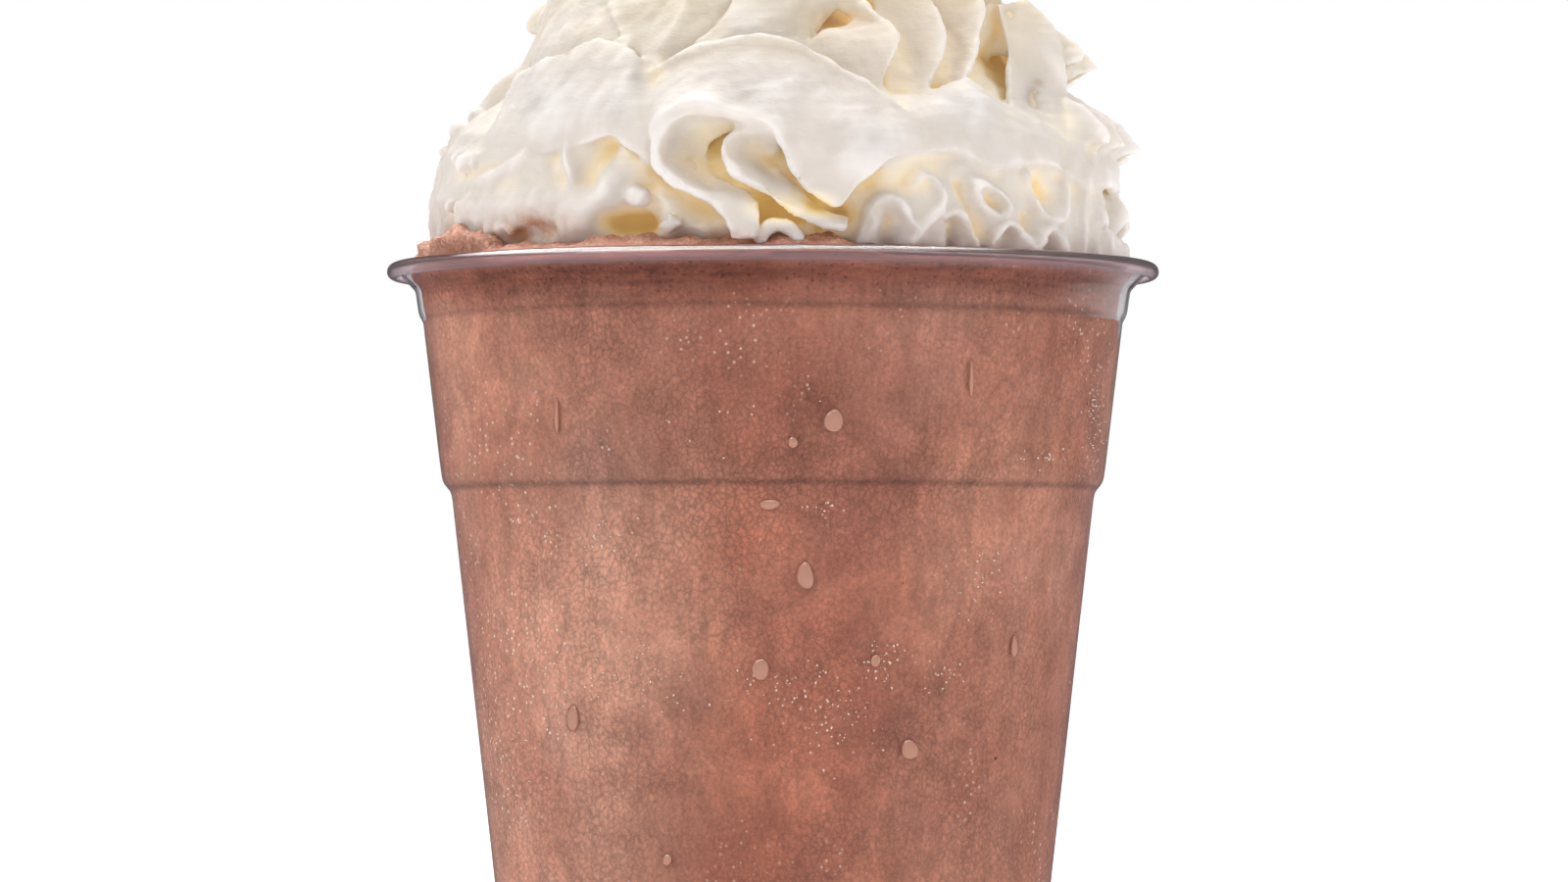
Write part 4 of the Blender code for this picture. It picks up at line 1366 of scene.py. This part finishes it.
def set_back(points):
    """How far each point is behind the outermost ones near it, in mm."""
    radius = np.hypot(points[:, 0], points[:, 1])
    azimuth = np.arctan2(points[:, 0], -points[:, 1]) % (2.0 * math.pi)
    around, up = REACH_GRID
    column = (azimuth / (2.0 * math.pi) * around).astype(int) % around
    row = ((points[:, 2] - CREAM_BASE) / (CREAM_TOP - CREAM_BASE) * up).astype(int)
    row = np.clip(row, 0, up - 1)
    reach = np.zeros((around, up))
    np.maximum.at(reach, (column, row), radius)
    for _ in range(3):
        reach = np.maximum.reduce([np.roll(reach, s, axis=0) for s in (-1, 0, 1)])
    reach = blurred(reach[:, :, None], 3)[:, :, 0]
    return np.maximum(reach[column, row] - radius, 0.0)


def mark_recess(made):
    """Stores at each point how deep it lies among the folds around it, from 0 to 1."""
    points, normals = points_and_normals(made)
    points = points / MM
    near = hollowness(points, normals, 0.8, 4)
    far = hollowness(points, normals, 1.5, 8)
    behind = set_back(points)
    depth = 0.20 + np.where(near > 0.0, 0.26, 0.20) * near + 0.10 * np.clip(far, -0.6, 2.0) + 0.055 * behind
    # The depth and the spots of painted hollows set the cream's painted highlight, shade and glow.
    for name, values in (("recess", depth + marked(points, PAINTED_HOLLOWS)), ("stain", marked(points, SOAKED))):
        attribute = made.data.attributes.new(name, "FLOAT", "POINT")
        attribute.data.foreach_set("value", np.clip(values, 0.0, 1.0).astype(np.float32))


def build_cream():
    line = softened(BODY, 0.4, 3.0)
    line[0, 0] = line[-1, 0] = 0.0
    body = turned("cream_body", line, BODY_SEGMENTS, body_moved)
    cream = melted("cream", build_parts(), body)
    unevened(cream)
    mark_recess(cream)
    cream.data.materials.clear()
    cream.data.materials.append(cream_material())
    cream.data.shade_smooth()
    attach(cream, "root")
    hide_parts("whipped_cream")


# Floor, light and camera

CAMERA_AWAY = 0.796
EYE_HEIGHT = 0.077
AIM = Vector((0.0014, 0.0, 0.0968))
LENS = 144.5
SENSOR = 36.0
FLOOR_HALF = 30.0

# The ways to the bright patch overhead and to the dark one low behind, and the dark seen in the plastic.
OVERHEAD = (-0.22, 0.0, 0.975)
LOW_BACK = (0.0, 0.6, -0.8)
GLASS_DARK = (0.15, 0.115, 0.135)


def build_floor():
    mesh = bpy.data.meshes.new("floor")
    corners = [(x * FLOOR_HALF, y * FLOOR_HALF, 0.0) for x, y in ((-1, -1), (1, -1), (1, 1), (-1, 1))]
    mesh.from_pydata(corners, [], [(0, 1, 2, 3)])
    floor = bpy.data.objects.new("floor", mesh)
    bpy.context.scene.collection.objects.link(floor)
    made, tree, shader, output = new_material("pale_floor")
    values = {
        "Base Color": ramp(tree, noise(tree, 3.0, 2.0), ((0.3, 0.9), (0.7, 0.93))),
        "Roughness": 0.9,
        "Specular IOR Level": 0.0,
        "Emission Color": (1.0, 1.0, 1.0),
        "Emission Strength": 0.6,
    }
    finish(tree, shader, values)
    # Painted reflection: what the plastic reflects of the floor is a dark emission, and what it lets through
    # is dark in front and white behind.
    white_behind = ramp(tree, along(tree, "Y"), ((0.1, GLASS_DARK), (0.4, 1.0)))
    seen = mixed(tree, seen_in_glass(tree, ("Is Transmission Ray",)), GLASS_DARK, white_behind)
    painted_reflection = add(tree, "ShaderNodeEmission", {"Color": seen, "Strength": 1.0})
    either(tree, seen_in_glass(tree, ("Is Glossy Ray", "Is Transmission Ray")), shader, painted_reflection, output)
    mesh.materials.append(made)


def facing(tree, way, aim):
    """How nearly a way points along an aim."""
    return add(tree, "ShaderNodeVectorMath", {0: way, 1: aim}, operation="DOT_PRODUCT").outputs["Value"]


def build_world():
    """White to the eye and through the plastic; dimmer as a light, and dark in what it reflects."""
    world = bpy.data.worlds.new("studio")
    world.use_nodes = True
    tree = world.node_tree
    tree.nodes.clear()
    output = tree.nodes.new("ShaderNodeOutputWorld")
    way = tree.nodes.new("ShaderNodeTexCoord").outputs["Generated"]
    split = add(tree, "ShaderNodeSeparateXYZ", {"Vector": way})
    back = scaled(tree, split.outputs["Y"], 0.5, 0.5)
    front_to_back = ramp(tree, back, ((0.0, 0.30), (0.35, 0.42), (0.75, 0.74), (1.0, 0.80)))
    up = scaled(tree, facing(tree, way, OVERHEAD), 0.5, 0.5)
    shine = ramp(tree, up, ((0.30, 0.26), (0.52, 0.10), (0.82, 0.13), (0.90, 12.0)))
    path = tree.nodes.new("ShaderNodeLightPath")
    light = mixed(tree, seen_in_glass(tree, ("Is Glossy Ray",)), front_to_back, shine)
    through = ramp(tree, facing(tree, way, LOW_BACK), ((0.30, GLASS_DARK), (0.50, 1.0)))
    light = mixed(tree, seen_in_glass(tree, ("Is Transmission Ray",)), light, through)
    light = mixed(tree, path.outputs["Is Camera Ray"], light, (1.0, 1.0, 1.0))
    lit = add(tree, "ShaderNodeBackground", {"Color": light, "Strength": 1.0})
    tree.links.new(lit.outputs[0], output.inputs["Surface"])
    bpy.context.scene.world = world


def seen_in_glass(tree, kinds):
    """One for rays that the camera sends by way of the plastic, zero for those that light the scene."""
    path = tree.nodes.new("ShaderNodeLightPath")
    found = path.outputs[kinds[0]]
    for kind in kinds[1:]:
        found = add(tree, "ShaderNodeMath", {0: found, 1: path.outputs[kind]}, operation="MAXIMUM").outputs[0]
    lights = add(tree, "ShaderNodeMath", {0: path.outputs["Diffuse Depth"], 1: 0.5}, operation="LESS_THAN")
    return product(tree, found, lights.outputs[0])


def area_light(name, where, aim, size, power, mirrored=True):
    data = bpy.data.lights.new(name, "AREA")
    data.shape = "RECTANGLE"
    data.size, data.size_y = size
    data.energy = power
    made = bpy.data.objects.new(name, data)
    made.location = where
    made.rotation_euler = (Vector(aim) - Vector(where)).to_track_quat("-Z", "Y").to_euler()
    made.visible_camera = False
    made.visible_transmission = False
    made.visible_glossy = mirrored
    bpy.context.scene.collection.objects.link(made)


def build_camera():
    data = bpy.data.cameras.new("camera")
    data.lens = LENS
    data.sensor_width = SENSOR
    data.clip_start = 0.01
    data.clip_end = 100.0
    camera = bpy.data.objects.new("camera", data)
    camera.location = (0.0, -CAMERA_AWAY, EYE_HEIGHT)
    camera.rotation_euler = (AIM - camera.location).to_track_quat("-Z", "Y").to_euler()
    bpy.context.scene.collection.objects.link(camera)
    bpy.context.scene.camera = camera


build_camera()
build_floor()
build_world()
area_light("key", (-1.0, -0.9, 1.1), (0.0, 0.0, 0.12), (0.8, 0.8), 7.5)
area_light("side", (1.2, -0.5, 0.5), (0.0, 0.0, 0.1), (0.6, 0.9), 3.6, mirrored=False)
area_light("top", (0.1, 0.3, 1.5), (0.0, 0.0, 0.1), (1.2, 1.2), 8.0, mirrored=False)
bpy.context.scene.view_settings.view_transform = "Standard"

build_cup()
build_shake()
build_condensation()
build_cream()
